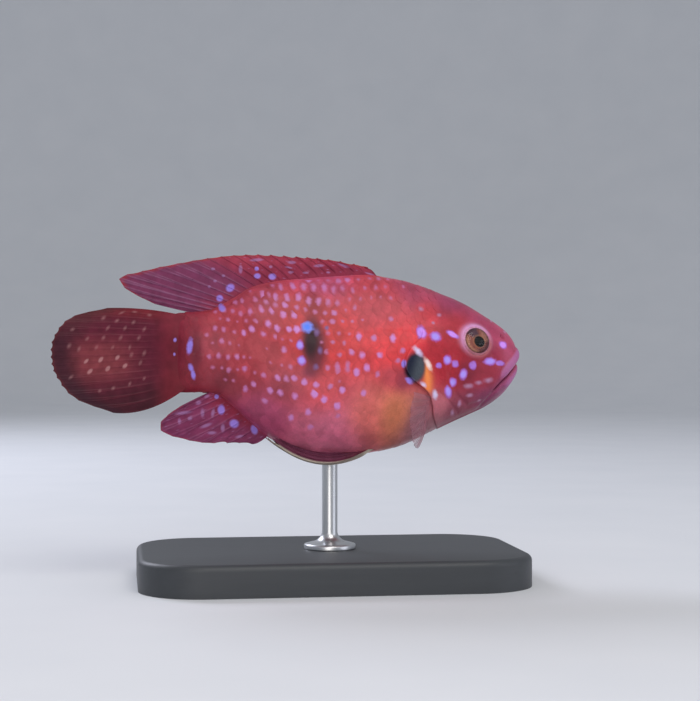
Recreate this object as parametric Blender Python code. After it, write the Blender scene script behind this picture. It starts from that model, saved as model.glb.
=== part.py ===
"""Balloon red jewel cichlid, a life-size still model on a plain display stand.

Tables and named sizes are millimetres in the fish's own frame: x runs forward to the snout,
y to the fish's left and z up, with zero on the axis of the tail stalk. The fish is modelled
straight, parted with thin cuts, and then its tail is swung a little to its right.
"""

import math

import bmesh
import bpy
import numpy as np
from mathutils import Vector

MM = 0.001  # metres in one millimetre
GAP = 0.3  # between pieces that touch
BEYOND = 60.0  # past the fish on every side

# Where the fish hangs over its stand
AXIS_HEIGHT = 44.0
ROD_X = 8.0

# Body, read as sections from the snout to the end of the tail stalk:
# x, back, belly, half width, and egg, which is how far the widest line sinks
STATIONS = np.array([
    (44.8, -1.2, -1.2, 0.0, 0.00),
    (44.3, 1.9, -4.4, 2.9, 0.02),
    (42.9, 3.9, -7.2, 4.3, 0.05),
    (40.9, 5.5, -9.2, 5.2, 0.08),
    (38.4, 7.1, -10.8, 5.9, 0.12),
    (34.9, 9.2, -12.4, 6.9, 0.18),
    (31.0, 11.0, -14.1, 7.9, 0.24),
    (26.5, 12.8, -16.2, 8.8, 0.30),
    (21.7, 14.1, -18.3, 9.5, 0.34),
    (16.0, 14.8, -19.5, 9.9, 0.36),
    (9.5, 14.5, -19.9, 9.9, 0.36),
    (3.0, 14.0, -19.4, 9.2, 0.34),
    (-2.6, 13.5, -17.2, 8.0, 0.28),
    (-7.4, 12.2, -13.4, 6.5, 0.18),
    (-10.6, 10.2, -10.5, 5.2, 0.10),
    (-13.6, 8.6, -8.4, 4.2, 0.04),
    (-17.2, 7.8, -7.8, 3.1, 0.0),
    (-20.4, 7.6, -7.8, 1.7, 0.0),
    (-22.2, 7.2, -7.4, 0.7, 0.0),
])
RINGS_BETWEEN = (3, 4, 4, 5, 5, 4, 3, 3, 2, 2, 2, 2, 2, 2, 2, 2, 2, 2)
POINTS_AROUND = 52

# Where the head ends: the nape above, the free edge of the gill cover below, as z, x
GILL_EDGE = np.array([
    (-22.0, 37.5), (-16.5, 33.4), (-14.8, 31.4), (-12.4, 29.4), (-9.9, 27.9), (-7.4, 26.1),
    (-5.2, 23.9), (-2.5, 22.5), (0.4, 23.2), (2.9, 25.0), (6.0, 24.6), (10.0, 23.4), (17.0, 21.0),
])
GILL_TOP = 3.6
GILL_BOTTOM = -15.0
# Round the gill cover as x, z: down its front edge, then up behind the gill edge, which trims it
GILL_LOOP = (
    (28.0, 2.9), (29.4, -1.2), (30.3, -5.2), (31.8, -9.2), (34.4, -12.6), (33.6, -15.6),
    (29.0, -16.4), (24.6, -11.4), (20.8, -6.4), (19.6, -1.6), (21.6, 2.6), (24.9, 3.9),
)
GILL_INNER = 3.4  # half the width of the head left between the two gill covers
GILL_FLARE = 0.6
GILL_FLARE_REACH = 7.0
STALK_X = -14.6

# Mouth: the cut that parts the lips slopes down and back from the front to a corner on each side
MOUTH_CORNER = (39.7, -7.5)
MOUTH_ANGLE = math.radians(48)
LIP_TURN = math.radians(98)  # how far round from the front each lip runs
LIP_RADII = (1.1, 0.95)  # upper, lower, at the front
LIP_SINK = 0.55
LIP_RINGS = 25
LIP_SIDES = 10
JAW_HINGE = ((37.6, -9.7), (35.8, -12.4), (34.8, -18.0))

# Eyes and nostrils
EYE = (35.7, 2.1)
EYE_RADIUS = 3.15
EYE_DEPTH = 2.1  # half the eyeball's thickness
EYE_PROUD = 1.15  # how far it stands out of the flank
ORBIT_RIM = 0.35
NOSTRIL = (41.3, 3.0)
NOSTRIL_RADIUS = 0.55

# Fins: thickness of a ray at its root and tip, and of the membrane between rays
RAY_ROOT = 0.95
RAY_TIP = 0.55
MEMBRANE = 0.5
ROOT_SINK = 2.0  # how deep the rays start, before the body is cut away from them
SPINE_NOTCH = 0.86  # how far out the membrane reaches between two spines, as a share
RAY_NOTCH = 0.97

# Key rays of each median fin as ray number, root x (z on the tail), tip x, tip z
DORSAL_KEYS = np.array([
    (0, 17.6, 15.2, 16.3), (3, 12.6, 7.6, 17.9), (6, 7.2, 1.4, 18.5), (9, 1.8, -6.0, 18.8),
    (12, -3.0, -13.0, 18.3), (15, -7.4, -21.4, 16.9), (17, -9.6, -28.0, 15.4),
    (19, -11.2, -32.4, 13.8), (20, -12.0, -31.4, 12.2), (22, -13.6, -25.6, 9.2),
])
DORSAL_SPINES = 14
DORSAL_LEAN = 1.7  # of its rear tip to the left, clear of the tail fin
CAUDAL_KEYS = np.array([
    (0, 6.9, -34.6, 8.3), (2, 5.6, -40.6, 6.8), (5, 3.0, -44.3, 3.2), (8, 0.0, -45.0, -0.9),
    (11, -2.8, -43.9, -4.8), (14, -5.4, -39.9, -9.0), (16, -7.0, -33.5, -11.4),
])
CAUDAL_ROOT_X = -20.0
CAUDAL_WAVE = 0.5  # of its rear edge, from side to side
ANAL_KEYS = np.array([
    (0, -3.6, -7.2, -17.4), (2, -5.6, -12.0, -17.4), (5, -8.6, -19.2, -16.8),
    (7, -10.6, -24.6, -14.8), (8, -11.6, -24.6, -13.2), (10, -13.4, -20.6, -10.2),
])
ANAL_SPINES = 3
ANAL_LEAN = -1.9

# Paired fins
PECTORAL_ROOT = ((25.8, -8.8), (25.0, -12.2))  # x, z of the two ends of its fleshy base
PECTORAL_RAYS = 11
PECTORAL_LENGTH = 13.5
PECTORAL_SPLAY = math.radians(64)  # away from the flank
PECTORAL_RISE = math.radians(8)
PECTORAL_DROP = math.radians(-56)
PELVIC_RAYS = 6
# The spine, outermost, and the innermost ray, from root to tip, and how far each bows down
PELVIC_SPINE = ((17.2, 3.9, -17.4), (-4.4, 4.2, -16.7), -3.0)
PELVIC_INNER = ((15.6, 1.9, -18.4), (3.4, 2.6, -19.9), -1.1)

# The tail swings to the fish's right from here back
SWING_FROM_X = 5.0
SWING = 6.0
TAIL_TIP_X = -45.0

# Stand
BASE_LENGTH = 74.0
BASE_WIDTH = 46.0
BASE_THICKNESS = 6.0
BASE_CORNER = 12.0
BASE_BEVEL = 1.2
ROD_RADIUS = 1.5
ROD_TOP = -16.0  # inside the belly, before the body is cut away from it
ROD_FOOT_RADIUS = 5.0
ROD_FOOT_HEIGHT = 1.4

COLOURS = {
    "skin_red": ((0.62, 0.06, 0.05, 1), 0.35, 0.0),
    "fin_membrane": ((0.42, 0.05, 0.07, 1), 0.4, 0.0),
    "clear_membrane": ((0.62, 0.3, 0.26, 1), 0.3, 0.0),
    "eye": ((0.18, 0.07, 0.04, 1), 0.1, 0.0),
    "stand_paint": ((0.05, 0.05, 0.06, 1), 0.5, 0.0),
    "rod_steel": ((0.6, 0.6, 0.62, 1), 0.3, 1.0),
}


def clear_scene():
    for obj in list(bpy.data.objects):
        bpy.data.objects.remove(obj)


def material(name):
    made = bpy.data.materials.get(name)
    if made is None:
        made = bpy.data.materials.new(name)
        made.use_nodes = True
        shader = made.node_tree.nodes["Principled BSDF"]
        colour, roughness, metallic = COLOURS[name]
        shader.inputs["Base Color"].default_value = colour
        shader.inputs["Roughness"].default_value = roughness
        shader.inputs["Metallic"].default_value = metallic
    return made


# Curves and smooth steps

def smooth_curve(keys, values, at):
    """Smooth curve through values at the rising keys, read at the places at."""
    keys = np.asarray(keys, float)
    values = np.asarray(values, float)
    at = np.asarray(at, float)
    slopes = np.gradient(values, keys, axis=0)
    i = np.clip(np.searchsorted(keys, at, "right") - 1, 0, len(keys) - 2)
    span = keys[i + 1] - keys[i]
    f = (at - keys[i]) / span
    if values.ndim == 2:
        f, span = f[..., None], span[..., None]
    stay = 2 * f**3 - 3 * f**2 + 1
    leave = f**3 - 2 * f**2 + f
    arrive = f**3 - f**2
    bend = leave * slopes[i] + arrive * slopes[i + 1]
    return stay * values[i] + (1 - stay) * values[i + 1] + span * bend


def ramp(value, low, high):
    """0 below low and 1 above high, with a smooth rise between."""
    f = np.clip((value - low) / (high - low), 0, 1)
    return f * f * (3 - 2 * f)


def bump(value, width):
    """1 at zero, falling smoothly to nothing about two widths away."""
    return np.exp(-((value / width) ** 2))


# Body surface

def station_table():
    """Distances along the back, and the stations with a mirrored one ahead to round the snout."""
    first = STATIONS[1].copy()
    first[[1, 2]] = first[[2, 1]]
    first[3] *= -1
    table = np.vstack([first, STATIONS])
    steps = np.hypot(np.diff(table[:, 0]), np.diff(table[:, 1]))
    steps[0] = steps[1]
    keys = np.concatenate([[0], np.cumsum(steps)]) - steps[0]
    return keys, table


STATION_KEYS, STATION_TABLE = station_table()
FINE_KEYS = np.linspace(0, STATION_KEYS[-1], 2000)
FINE_TABLE = smooth_curve(STATION_KEYS, STATION_TABLE, FINE_KEYS)


def along_at(x):
    """Distance along the body at x."""
    return np.interp(-np.asarray(x), -FINE_TABLE[:, 0], FINE_KEYS)


def back_z(x):
    return np.interp(along_at(x), FINE_KEYS, FINE_TABLE[:, 1])


def belly_z(x):
    return np.interp(along_at(x), FINE_KEYS, FINE_TABLE[:, 2])


def section(along, angle):
    """Points of the plain body at a distance along it, at an angle from the back towards the left."""
    row = smooth_curve(STATION_KEYS, STATION_TABLE, along)
    x, back, belly, half, egg = np.moveaxis(row, -1, 0)
    lean = np.maximum(egg, 1e-6)
    widest = (1 - np.sqrt(1 + 8 * lean**2)) / (4 * lean)
    fullest = np.sqrt(1 - widest**2) * (1 - lean * widest)
    y = half * np.sin(angle) * (1 - lean * np.cos(angle)) / fullest
    z = (back + belly) / 2 + (back - belly) / 2 * np.cos(angle)
    return np.stack([x, y, z], axis=-1)


def surface(along, angle):
    """Points of the plain body and the normals there."""
    step = 0.02
    base = section(along, angle)
    down = section(along + step, angle) - section(along - step, angle)
    across = section(along, angle + step) - section(along, angle - step)
    normal = np.cross(across, down)
    length = np.linalg.norm(normal, axis=-1, keepdims=True)
    return base, np.where(length > 1e-9, normal / np.maximum(length, 1e-9), (1.0, 0.0, 0.0))


def flank(x, z):
    """The point of the left flank seen at x, z from the side, and the normal there."""
    middle, half = (back_z(x) + belly_z(x)) / 2, (back_z(x) - belly_z(x)) / 2
    angle = np.arccos(np.clip((z - middle) / half, -1, 1))
    return surface(along_at(x), angle)


def inside(point):
    x, y, z = point
    if x >= STATIONS[0, 0] or not belly_z(x) < z < back_z(x):
        return False
    return bool(abs(y) < flank(x, z)[0][1])


def gill_edge_x(z):
    return smooth_curve(GILL_EDGE[:, 0], GILL_EDGE[:, 1], z)


def gill_flare(x, z):
    """How far the gill cover stands out, most at its free edge."""
    ahead = x - gill_edge_x(z)
    reach = 1 - ramp(ahead, 0, GILL_FLARE_REACH)
    return GILL_FLARE * reach * ramp(z, GILL_BOTTOM, GILL_BOTTOM + 3) * (1 - ramp(z, 0, GILL_TOP + 1))


def orbit_rim(x, z):
    """The raised rim of skin round the eye."""
    away = np.hypot(x - EYE[0], z - EYE[1])
    return ORBIT_RIM * bump(away - 1.05 * EYE_RADIUS, 0.7)


def body_points(along, angle, grow=0.0, flared=True):
    """Points of the body's skin, raised along its normal by its relief and by grow."""
    base, normal = surface(along, angle)
    x, _, z = np.moveaxis(base, -1, 0)
    rise = orbit_rim(x, z) * ramp(np.abs(normal[..., 1]), 0.2, 0.6)
    if flared:
        rise = rise + gill_flare(x, z) * np.abs(normal[..., 1])
    return base + normal * (rise + grow)[..., None]


# Meshes

def object_of(name, bm):
    """An object of the bmesh, its faces turned out."""
    bmesh.ops.recalc_face_normals(bm, faces=bm.faces)
    mesh = bpy.data.meshes.new(name)
    bm.to_mesh(mesh)
    bm.free()
    obj = bpy.data.objects.new(name, mesh)
    bpy.context.scene.collection.objects.link(obj)
    return obj


def object_from(name, vertices, faces):
    bm = bmesh.new()
    verts = [bm.verts.new(v) for v in vertices]
    for face in faces:
        bm.faces.new([verts[i] for i in face])
    return object_of(name, bm)


def body_mesh(name, grow=0.0, flared=True):
    """The whole body as one closed surface: a point at the snout, rings, and a fan at the tail."""
    rings = [np.linspace(STATION_KEYS[i + 1], STATION_KEYS[i + 2], n, endpoint=False)
             for i, n in enumerate(RINGS_BETWEEN)]
    along = np.concatenate([*rings, STATION_KEYS[-1:]])[1:]
    angle = np.arange(POINTS_AROUND) * 2 * math.pi / POINTS_AROUND
    grid = body_points(along[:, None] + 0 * angle, angle[None] + 0 * along[:, None], grow, flared)
    snout = STATIONS[0, [0, 1, 1]] * (1, 0, 1) + (grow, 0, 0)
    end = grid[-1].mean(0) - (0.4 + grow, 0, 0)
    vertices = [*grid.reshape(-1, 3), snout, end]
    count = len(along)
    faces = []
    for j in range(POINTS_AROUND):
        k = (j + 1) % POINTS_AROUND
        faces.append((count * POINTS_AROUND, k, j))
        last = (count - 1) * POINTS_AROUND
        faces.append((last + j, last + k, count * POINTS_AROUND + 1))
        for i in range(count - 1):
            a, b = i * POINTS_AROUND + j, i * POINTS_AROUND + k
            c, d = b + POINTS_AROUND, a + POINTS_AROUND
            faces += [(a, b, c), (a, c, d)]
    return object_from(name, vertices, faces)


def lip(upper):
    """One lip: a round bead on the skin along the mouth, thinner towards the corners, where it dives in."""
    side = 1 if upper else -1
    ahead = np.array((math.cos(MOUTH_ANGLE), 0, math.sin(MOUTH_ANGLE)))
    up = np.array((-math.sin(MOUTH_ANGLE), 0, math.cos(MOUTH_ANGLE)))
    corner = np.array((MOUTH_CORNER[0], 0, MOUTH_CORNER[1]))
    rings = []
    for turn in np.linspace(-LIP_TURN, LIP_TURN, LIP_RINGS):
        to_corner = ramp(abs(turn), 0.45 * LIP_TURN, LIP_TURN)
        radius = LIP_RADII[0 if upper else 1] * (1 - 0.6 * to_corner)
        start = corner + up * side * (radius + 0.05)
        outward = ahead * math.cos(turn) + np.array((0, math.sin(turn), 0))
        near, far = 0.0, 9.0
        while far - near > 1e-4:
            middle = (near + far) / 2
            near, far = (middle, far) if inside(start + outward * middle) else (near, middle)
        centre = start + outward * (near - LIP_SINK * (1 + to_corner))
        spokes = np.arange(LIP_SIDES)[:, None] * 2 * math.pi / LIP_SIDES
        rings.append(centre + radius * (np.cos(spokes) * outward + np.sin(spokes) * up))
    return tube("lip", np.array(rings))


def tube(name, rings):
    """A closed tube through rings of points, with flat ends."""
    count, around, _ = rings.shape
    faces = [tuple(range(around)), tuple(range((count - 1) * around, count * around))]
    for i in range(count - 1):
        for j in range(around):
            k = (j + 1) % around
            faces.append((i * around + j, i * around + k, (i + 1) * around + k, (i + 1) * around + j))
    return object_from(name, rings.reshape(-1, 3), faces)


def prism(name, outline, near, far):
    """A block over an x, z outline, from y near to y far."""
    count = len(outline)
    vertices = [(x, y, z) for y in (near, far) for x, z in outline]
    faces = [tuple(range(count)), tuple(range(2 * count - 1, count - 1, -1))]
    faces += [(i, (i + 1) % count, count + (i + 1) % count, count + i) for i in range(count)]
    return object_from(name, vertices, faces)


def offset_outline(outline, amount):
    """The closed outline moved outwards by amount, corners mitred."""
    points = np.asarray(outline, float)
    turning = np.sum(points[:, 0] * np.roll(points[:, 1], -1) - np.roll(points[:, 0], -1) * points[:, 1])
    sides = np.roll(points, -1, axis=0) - points
    out = np.stack([sides[:, 1], -sides[:, 0]], axis=1) * np.sign(turning)
    out /= np.linalg.norm(out, axis=1, keepdims=True)
    mitre = out + np.roll(out, 1, axis=0)
    mitre /= np.maximum((mitre * out).sum(1, keepdims=True), 0.3)
    return points + mitre * amount


def closed_curve(points, steps=5):
    """A smooth closed curve through the points, with steps on each of its stretches."""
    count = len(points)
    around = np.array([*points[-2:], *points, *points[:3]], float)
    at = np.arange(count * steps) / steps + 2
    return smooth_curve(np.arange(len(around)), around, at)


def combine(obj, others, operation):
    """Applies a Boolean of obj with each of the others, removes them and keeps the largest surface."""
    for other in others:
        modifier = obj.modifiers.new(operation.title(), "BOOLEAN")
        modifier.operation = operation
        modifier.solver = "EXACT"
        modifier.object = other
        graph = bpy.context.evaluated_depsgraph_get()
        obj.data = bpy.data.meshes.new_from_object(obj.evaluated_get(graph))
        obj.modifiers.clear()
        bpy.data.objects.remove(other)
    keep_largest(obj)
    return obj


def keep_largest(obj):
    bm = bmesh.new()
    bm.from_mesh(obj.data)
    left = set(bm.verts)
    pieces = []
    while left:
        front = [left.pop()]
        piece = set(front)
        while front:
            near = [e.other_vert(v) for v in front for e in v.link_edges]
            front = [v for v in set(near) if v not in piece]
            piece.update(front)
        left -= piece
        pieces.append(piece)
    largest = max(pieces, key=len)
    bmesh.ops.delete(bm, geom=[v for v in bm.verts if v not in largest], context="VERTS")
    bm.to_mesh(obj.data)
    bm.free()


def fin(name, rays, spines=0):
    """A closed fin from its rays, an array of ray, row, x y z. Rays stand up as ridges on the membrane."""
    count, rows, _ = rays.shape
    between = (rays[1:] + rays[:-1]) / 2
    notch = np.where(np.arange(count - 1) < spines, SPINE_NOTCH, RAY_NOTCH)[:, None, None]
    reach = np.linspace(0, 1, rows)[None, :, None]
    between = between[:, :1] + (between - between[:, :1]) * (1 - (1 - notch) * reach)
    sheet = np.empty((2 * count - 1, rows, 3))
    sheet[0::2], sheet[1::2] = rays, between
    thickness = np.empty((2 * count - 1, rows))
    thickness[0::2] = RAY_ROOT + (RAY_TIP - RAY_ROOT) * reach[..., 0]
    thickness[1::2] = MEMBRANE
    normal = np.cross(np.gradient(sheet, axis=0), np.gradient(sheet, axis=1))
    normal /= np.linalg.norm(normal, axis=-1, keepdims=True)
    offset = normal * thickness[..., None] / 2
    vertices = np.concatenate([(sheet + offset).reshape(-1, 3), (sheet - offset).reshape(-1, 3)])
    layer = (2 * count - 1) * rows
    faces = []
    for i in range(2 * count - 2):
        for j in range(rows - 1):
            a, b = i * rows + j, (i + 1) * rows + j
            c, d = b + 1, a + 1
            front = [(a, b, c), (a, c, d)]
            faces += front + [tuple(layer + v for v in reversed(t)) for t in front]
    border = [i * rows for i in range(2 * count - 1)]
    border += [(2 * count - 2) * rows + j for j in range(1, rows)]
    border += [i * rows + rows - 1 for i in range(2 * count - 3, -1, -1)]
    border += [j for j in range(rows - 2, 0, -1)]
    for a, b in zip(border, border[1:] + border[:1]):
        faces += [(a, b, layer + b), (a, layer + b, layer + a)]
    return object_from(name, vertices, faces)


def bowed(roots, tips, bow, rows):
    """Rays from roots to tips, each bowed aside by its own bow at the middle."""
    reach = np.linspace(0, 1, rows)[None, :, None]
    return roots[:, None] + (tips - roots)[:, None] * reach + bow[:, None] * 4 * reach * (1 - reach)


# Fins

def dorsal_rays(rows=5):
    count = int(DORSAL_KEYS[-1, 0]) + 1
    root_x, tip_x, tip_z = smooth_curve(DORSAL_KEYS[:, 0], DORSAL_KEYS[:, 1:], np.arange(count)).T
    share = np.linspace(0, 1, count)
    roots = np.stack([root_x + 0.6, 0 * share, back_z(root_x) - ROOT_SINK], axis=1)
    tips = np.stack([tip_x, DORSAL_LEAN * share**2, tip_z], axis=1)
    bow = np.stack([0 * share, 0.25 * np.sin(share * 9), 0.9 - 1.1 * share], axis=1)
    return bowed(roots, tips, bow, rows)


def caudal_rays(rows=7):
    count = int(CAUDAL_KEYS[-1, 0]) + 1
    root_z, tip_x, tip_z = smooth_curve(CAUDAL_KEYS[:, 0], CAUDAL_KEYS[:, 1:], np.arange(count)).T
    share = np.linspace(-1, 1, count)
    roots = np.stack([CAUDAL_ROOT_X + 0 * share, 0 * share, root_z], axis=1)
    tips = np.stack([tip_x, CAUDAL_WAVE * np.sin(share * 5), tip_z], axis=1)
    bow = np.stack([0 * share, 0 * share, np.where(share < 0, 0.5, -1.5) * share**2], axis=1)
    return bowed(roots, tips, bow, rows)


def anal_rays(rows=5):
    count = int(ANAL_KEYS[-1, 0]) + 1
    root_x, tip_x, tip_z = smooth_curve(ANAL_KEYS[:, 0], ANAL_KEYS[:, 1:], np.arange(count)).T
    share = np.linspace(0, 1, count)
    roots = np.stack([root_x + 0.8, 0 * share, belly_z(root_x) + ROOT_SINK], axis=1)
    tips = np.stack([tip_x, ANAL_LEAN * share**0.7, tip_z], axis=1)
    bow = np.stack([0 * share, 0.2 * np.sin(share * 6), -0.8 + 0.9 * share], axis=1)
    return bowed(roots, tips, bow, rows)


def pectoral_rays(side, rows=5):
    """A fan from the fleshy base behind the gill cover, held out as the fish hovers."""
    share = np.linspace(0, 1, PECTORAL_RAYS)
    (x0, z0), (x1, z1) = PECTORAL_ROOT
    x, z = x0 + (x1 - x0) * share, z0 + (z1 - z0) * share
    y = flank(x, z)[0][:, 1]
    turn = PECTORAL_RISE + (PECTORAL_DROP - PECTORAL_RISE) * share
    length = PECTORAL_LENGTH * (1 - 0.5 * share**2) * (0.8 + 0.2 * ramp(share, 0, 0.3))
    back = -np.cos(turn) * math.cos(PECTORAL_SPLAY)
    out = np.cos(turn) * math.sin(PECTORAL_SPLAY) + 0.1
    roots = np.stack([x + 0.6, y - 1.4, z], axis=1)
    tips = np.stack([x + length * back, y + length * out, z + length * np.sin(turn)], axis=1)
    bow = np.stack([0.05 * length, 0.05 * length, 0 * share], axis=1)
    return bowed(roots, tips, bow, rows) * (1, side, 1)


def pelvic_rays(side, rows=6):
    """A pointed fin folded back under the belly, its first ray a spine along the outer edge."""
    share = np.linspace(0, 1, PELVIC_RAYS)[:, None]
    (root_a, tip_a, bow_a), (root_b, tip_b, bow_b) = PELVIC_SPINE, PELVIC_INNER
    roots = np.array(root_a) * (1 - share) + np.array(root_b) * share
    tips = np.array(tip_a) * (1 - share**0.8) + np.array(tip_b) * share**0.8
    bow = (0, 0, 1) * (bow_a * (1 - share) + bow_b * share)
    return bowed(roots, tips, bow, rows) * (1, side, 1)


def add_fin(name, rays, spines=0, skin="fin_membrane"):
    made = combine(fin(name, rays, spines), [body_mesh("cutter", GAP)], "DIFFERENCE")
    made.data.materials.append(material(skin))
    return made


# Pieces of the body

def gill_line(shift):
    """The gill edge and nape from below the belly up, as x, z, moved forward by shift."""
    z = np.linspace(GILL_EDGE[0, 0], GILL_EDGE[-1, 0], 40)
    line = [(float(gill_edge_x(v)) + shift, float(v)) for v in z]
    return [(line[0][0], -BEYOND), *line, (line[-1][0], BEYOND)]


def ball(name, centre, normal, radius, depth, segments, rings):
    """A sphere with its poles along the normal, flattened that way to depth."""
    bm = bmesh.new()
    bmesh.ops.create_uvsphere(bm, u_segments=segments, v_segments=rings, radius=1)
    bmesh.ops.scale(bm, verts=bm.verts, vec=(radius, radius, depth))
    turn = Vector(normal).to_track_quat("Z", "Y").to_matrix()
    bmesh.ops.rotate(bm, verts=bm.verts, matrix=turn)
    bmesh.ops.translate(bm, verts=bm.verts, vec=centre)
    return object_of(name, bm)


def eyeball(name, side, grow, segments, rings):
    """The flattened eyeball, facing squarely out of the flank."""
    point, normal = (v * (1, side, 1) for v in flank(*EYE))
    centre = point + normal * (EYE_PROUD - EYE_DEPTH)
    return ball(name, centre, normal, EYE_RADIUS + grow, EYE_DEPTH + grow, segments, rings)


def nostril(side):
    point, normal = (v * (1, side, 1) for v in flank(*NOSTRIL))
    return ball("nostril", point, normal, NOSTRIL_RADIUS, NOSTRIL_RADIUS, 10, 6)


def gill_block(side, grow):
    """The block that holds one gill cover, from inside the head out past its flank."""
    near, far = sorted((side * (GILL_INNER - grow), side * BEYOND))
    return prism("gill_block", offset_outline(closed_curve(GILL_LOOP), grow), near, far)


def jaw_block(grow):
    corner_x, corner_z = MOUTH_CORNER
    front = (BEYOND, corner_z + math.tan(MOUTH_ANGLE) * (BEYOND - corner_x))
    outline = [MOUTH_CORNER, *JAW_HINGE, (BEYOND, JAW_HINGE[-1][1]), front]
    return prism("jaw_block", offset_outline(outline, grow), -BEYOND, BEYOND)


def head_region():
    outline = [*gill_line(GAP / 2), (BEYOND, BEYOND), (BEYOND, -BEYOND)]
    return prism("head_region", outline, -BEYOND, BEYOND)


def trunk_region():
    x = STALK_X + GAP / 2
    outline = [*gill_line(-GAP / 2), (x, BEYOND), (x, -BEYOND)]
    return prism("trunk_region", outline, -BEYOND, BEYOND)


def stalk_region():
    x = STALK_X - GAP / 2
    outline = [(x, BEYOND), (x, -BEYOND), (-BEYOND, -BEYOND), (-BEYOND, BEYOND)]
    return prism("stalk_region", outline, -BEYOND, BEYOND)


def lipped_body(name):
    return combine(body_mesh(name), [lip(upper=True), lip(upper=False)], "UNION")


def make_head():
    head = combine(lipped_body("head"), [head_region()], "INTERSECT")
    cuts = [gill_block(1, GAP), gill_block(-1, GAP), jaw_block(GAP / 2)]
    for side in (1, -1):
        cuts += [eyeball("socket", side, GAP, 24, 14), nostril(side)]
    return combine(head, cuts, "DIFFERENCE")


def make_body():
    pieces = [
        make_head(),
        combine(lipped_body("jaw_lower"), [jaw_block(-GAP / 2)], "INTERSECT"),
        combine(body_mesh("gill_cover_left"), [head_region(), gill_block(1, 0)], "INTERSECT"),
        combine(body_mesh("gill_cover_right"), [head_region(), gill_block(-1, 0)], "INTERSECT"),
        combine(body_mesh("trunk", flared=False), [trunk_region()], "INTERSECT"),
        combine(body_mesh("tail_stalk"), [stalk_region()], "INTERSECT"),
    ]
    for piece in pieces:
        piece.data.materials.append(material("skin_red"))
    return pieces


def make_eyes():
    eyes = [eyeball("eye_left", 1, 0.0, 20, 12), eyeball("eye_right", -1, 0.0, 20, 12)]
    for eye in eyes:
        eye.data.materials.append(material("eye"))
    return eyes


def make_fins():
    return [
        add_fin("fin_dorsal", dorsal_rays(), DORSAL_SPINES),
        add_fin("fin_caudal", caudal_rays()),
        add_fin("fin_anal", anal_rays(), ANAL_SPINES),
        add_fin("fin_pectoral_left", pectoral_rays(1), skin="clear_membrane"),
        add_fin("fin_pectoral_right", pectoral_rays(-1), skin="clear_membrane"),
        add_fin("fin_pelvic_left", pelvic_rays(1), 1),
        add_fin("fin_pelvic_right", pelvic_rays(-1), 1),
    ]


# Stand

def make_rod():
    """A turned rod: a low flared foot on the base and a shaft up to the belly."""
    foot_z = BASE_THICKNESS - AXIS_HEIGHT + GAP
    profile = [
        (0.0, foot_z), (ROD_FOOT_RADIUS, foot_z),
        (ROD_FOOT_RADIUS, foot_z + 0.6 * ROD_FOOT_HEIGHT),
        (0.55 * ROD_FOOT_RADIUS, foot_z + ROD_FOOT_HEIGHT), (ROD_RADIUS, foot_z + 2 * ROD_FOOT_HEIGHT),
        (ROD_RADIUS, ROD_TOP), (0.0, ROD_TOP),
    ]
    bm = bmesh.new()
    verts = [bm.verts.new((r, 0, z)) for r, z in profile]
    edges = [bm.edges.new(pair) for pair in zip(verts, verts[1:])]
    turned = dict(axis=(0, 0, 1), cent=(0, 0, 0), angle=2 * math.pi, steps=24)
    bmesh.ops.spin(bm, geom=verts + edges, **turned)
    bmesh.ops.remove_doubles(bm, verts=bm.verts, dist=0.001)
    bmesh.ops.translate(bm, verts=bm.verts, vec=(ROD_X, 0, 0))
    rod = combine(object_of("stand_rod", bm), [body_mesh("cutter", GAP)], "DIFFERENCE")
    rod.data.materials.append(material("rod_steel"))
    return rod


def make_base():
    """A flat plate with round corners and a softened top edge."""
    outline = []
    for quarter in range(4):
        turn = quarter * math.pi / 2
        cx = (BASE_LENGTH / 2 - BASE_CORNER) * (1 if quarter in (0, 3) else -1)
        cy = (BASE_WIDTH / 2 - BASE_CORNER) * (1 if quarter in (0, 1) else -1)
        for step in range(7):
            a = turn + step * math.pi / 12
            outline.append((cx + BASE_CORNER * math.cos(a), cy + BASE_CORNER * math.sin(a)))
    bm = bmesh.new()
    face = bm.faces.new([bm.verts.new((ROD_X + x, y, -AXIS_HEIGHT)) for x, y in outline])
    raised = bmesh.ops.extrude_face_region(bm, geom=[face])["geom"]
    top = [g for g in raised if isinstance(g, bmesh.types.BMVert)]
    bmesh.ops.translate(bm, verts=top, vec=(0, 0, BASE_THICKNESS))
    edges = [e for e in bm.edges if all(v in top for v in e.verts)]
    bmesh.ops.bevel(bm, geom=edges, offset=BASE_BEVEL, segments=3, profile=0.5, affect="EDGES")
    base = object_of("stand_base", bm)
    base.data.materials.append(material("stand_paint"))
    return base


def swing(x):
    """How far the tail is swung aside at x."""
    share = np.maximum(SWING_FROM_X - x, 0) / (SWING_FROM_X - TAIL_TIP_X)
    return -SWING * share**2


def place(pieces, swung):
    """Swings the tail if asked, sets the stand's base on the ground and turns millimetres into metres."""
    for obj in pieces:
        count = len(obj.data.vertices)
        points = np.empty(count * 3)
        obj.data.vertices.foreach_get("co", points)
        points = points.reshape(-1, 3)
        if swung:
            points[:, 1] += swing(points[:, 0])
        points += (-ROD_X, 0, AXIS_HEIGHT)
        obj.data.vertices.foreach_set("co", (points * MM).ravel())
        obj.data.update()
        obj.data.shade_smooth()
        obj.data.set_sharp_from_angle(angle=math.radians(50))


def main():
    clear_scene()
    place(make_body() + make_eyes() + make_fins(), swung=True)
    place([make_rod(), make_base()], swung=False)


main()
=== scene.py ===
# %% [markdown]
# # Balloon red jewel cichlid
# This lesson dresses a still, life-size model of a short-bodied jewel cichlid. The solids of the
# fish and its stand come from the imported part, and everything made here lies in the same place.
# Tables are in millimetres in the fish's own straight frame: x runs forward to the snout, y to
# the fish's left and z up. One function swings the tail aside, lifts the fish onto its stand and
# turns millimetres into metres.

# %% Load the solids
import math

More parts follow.
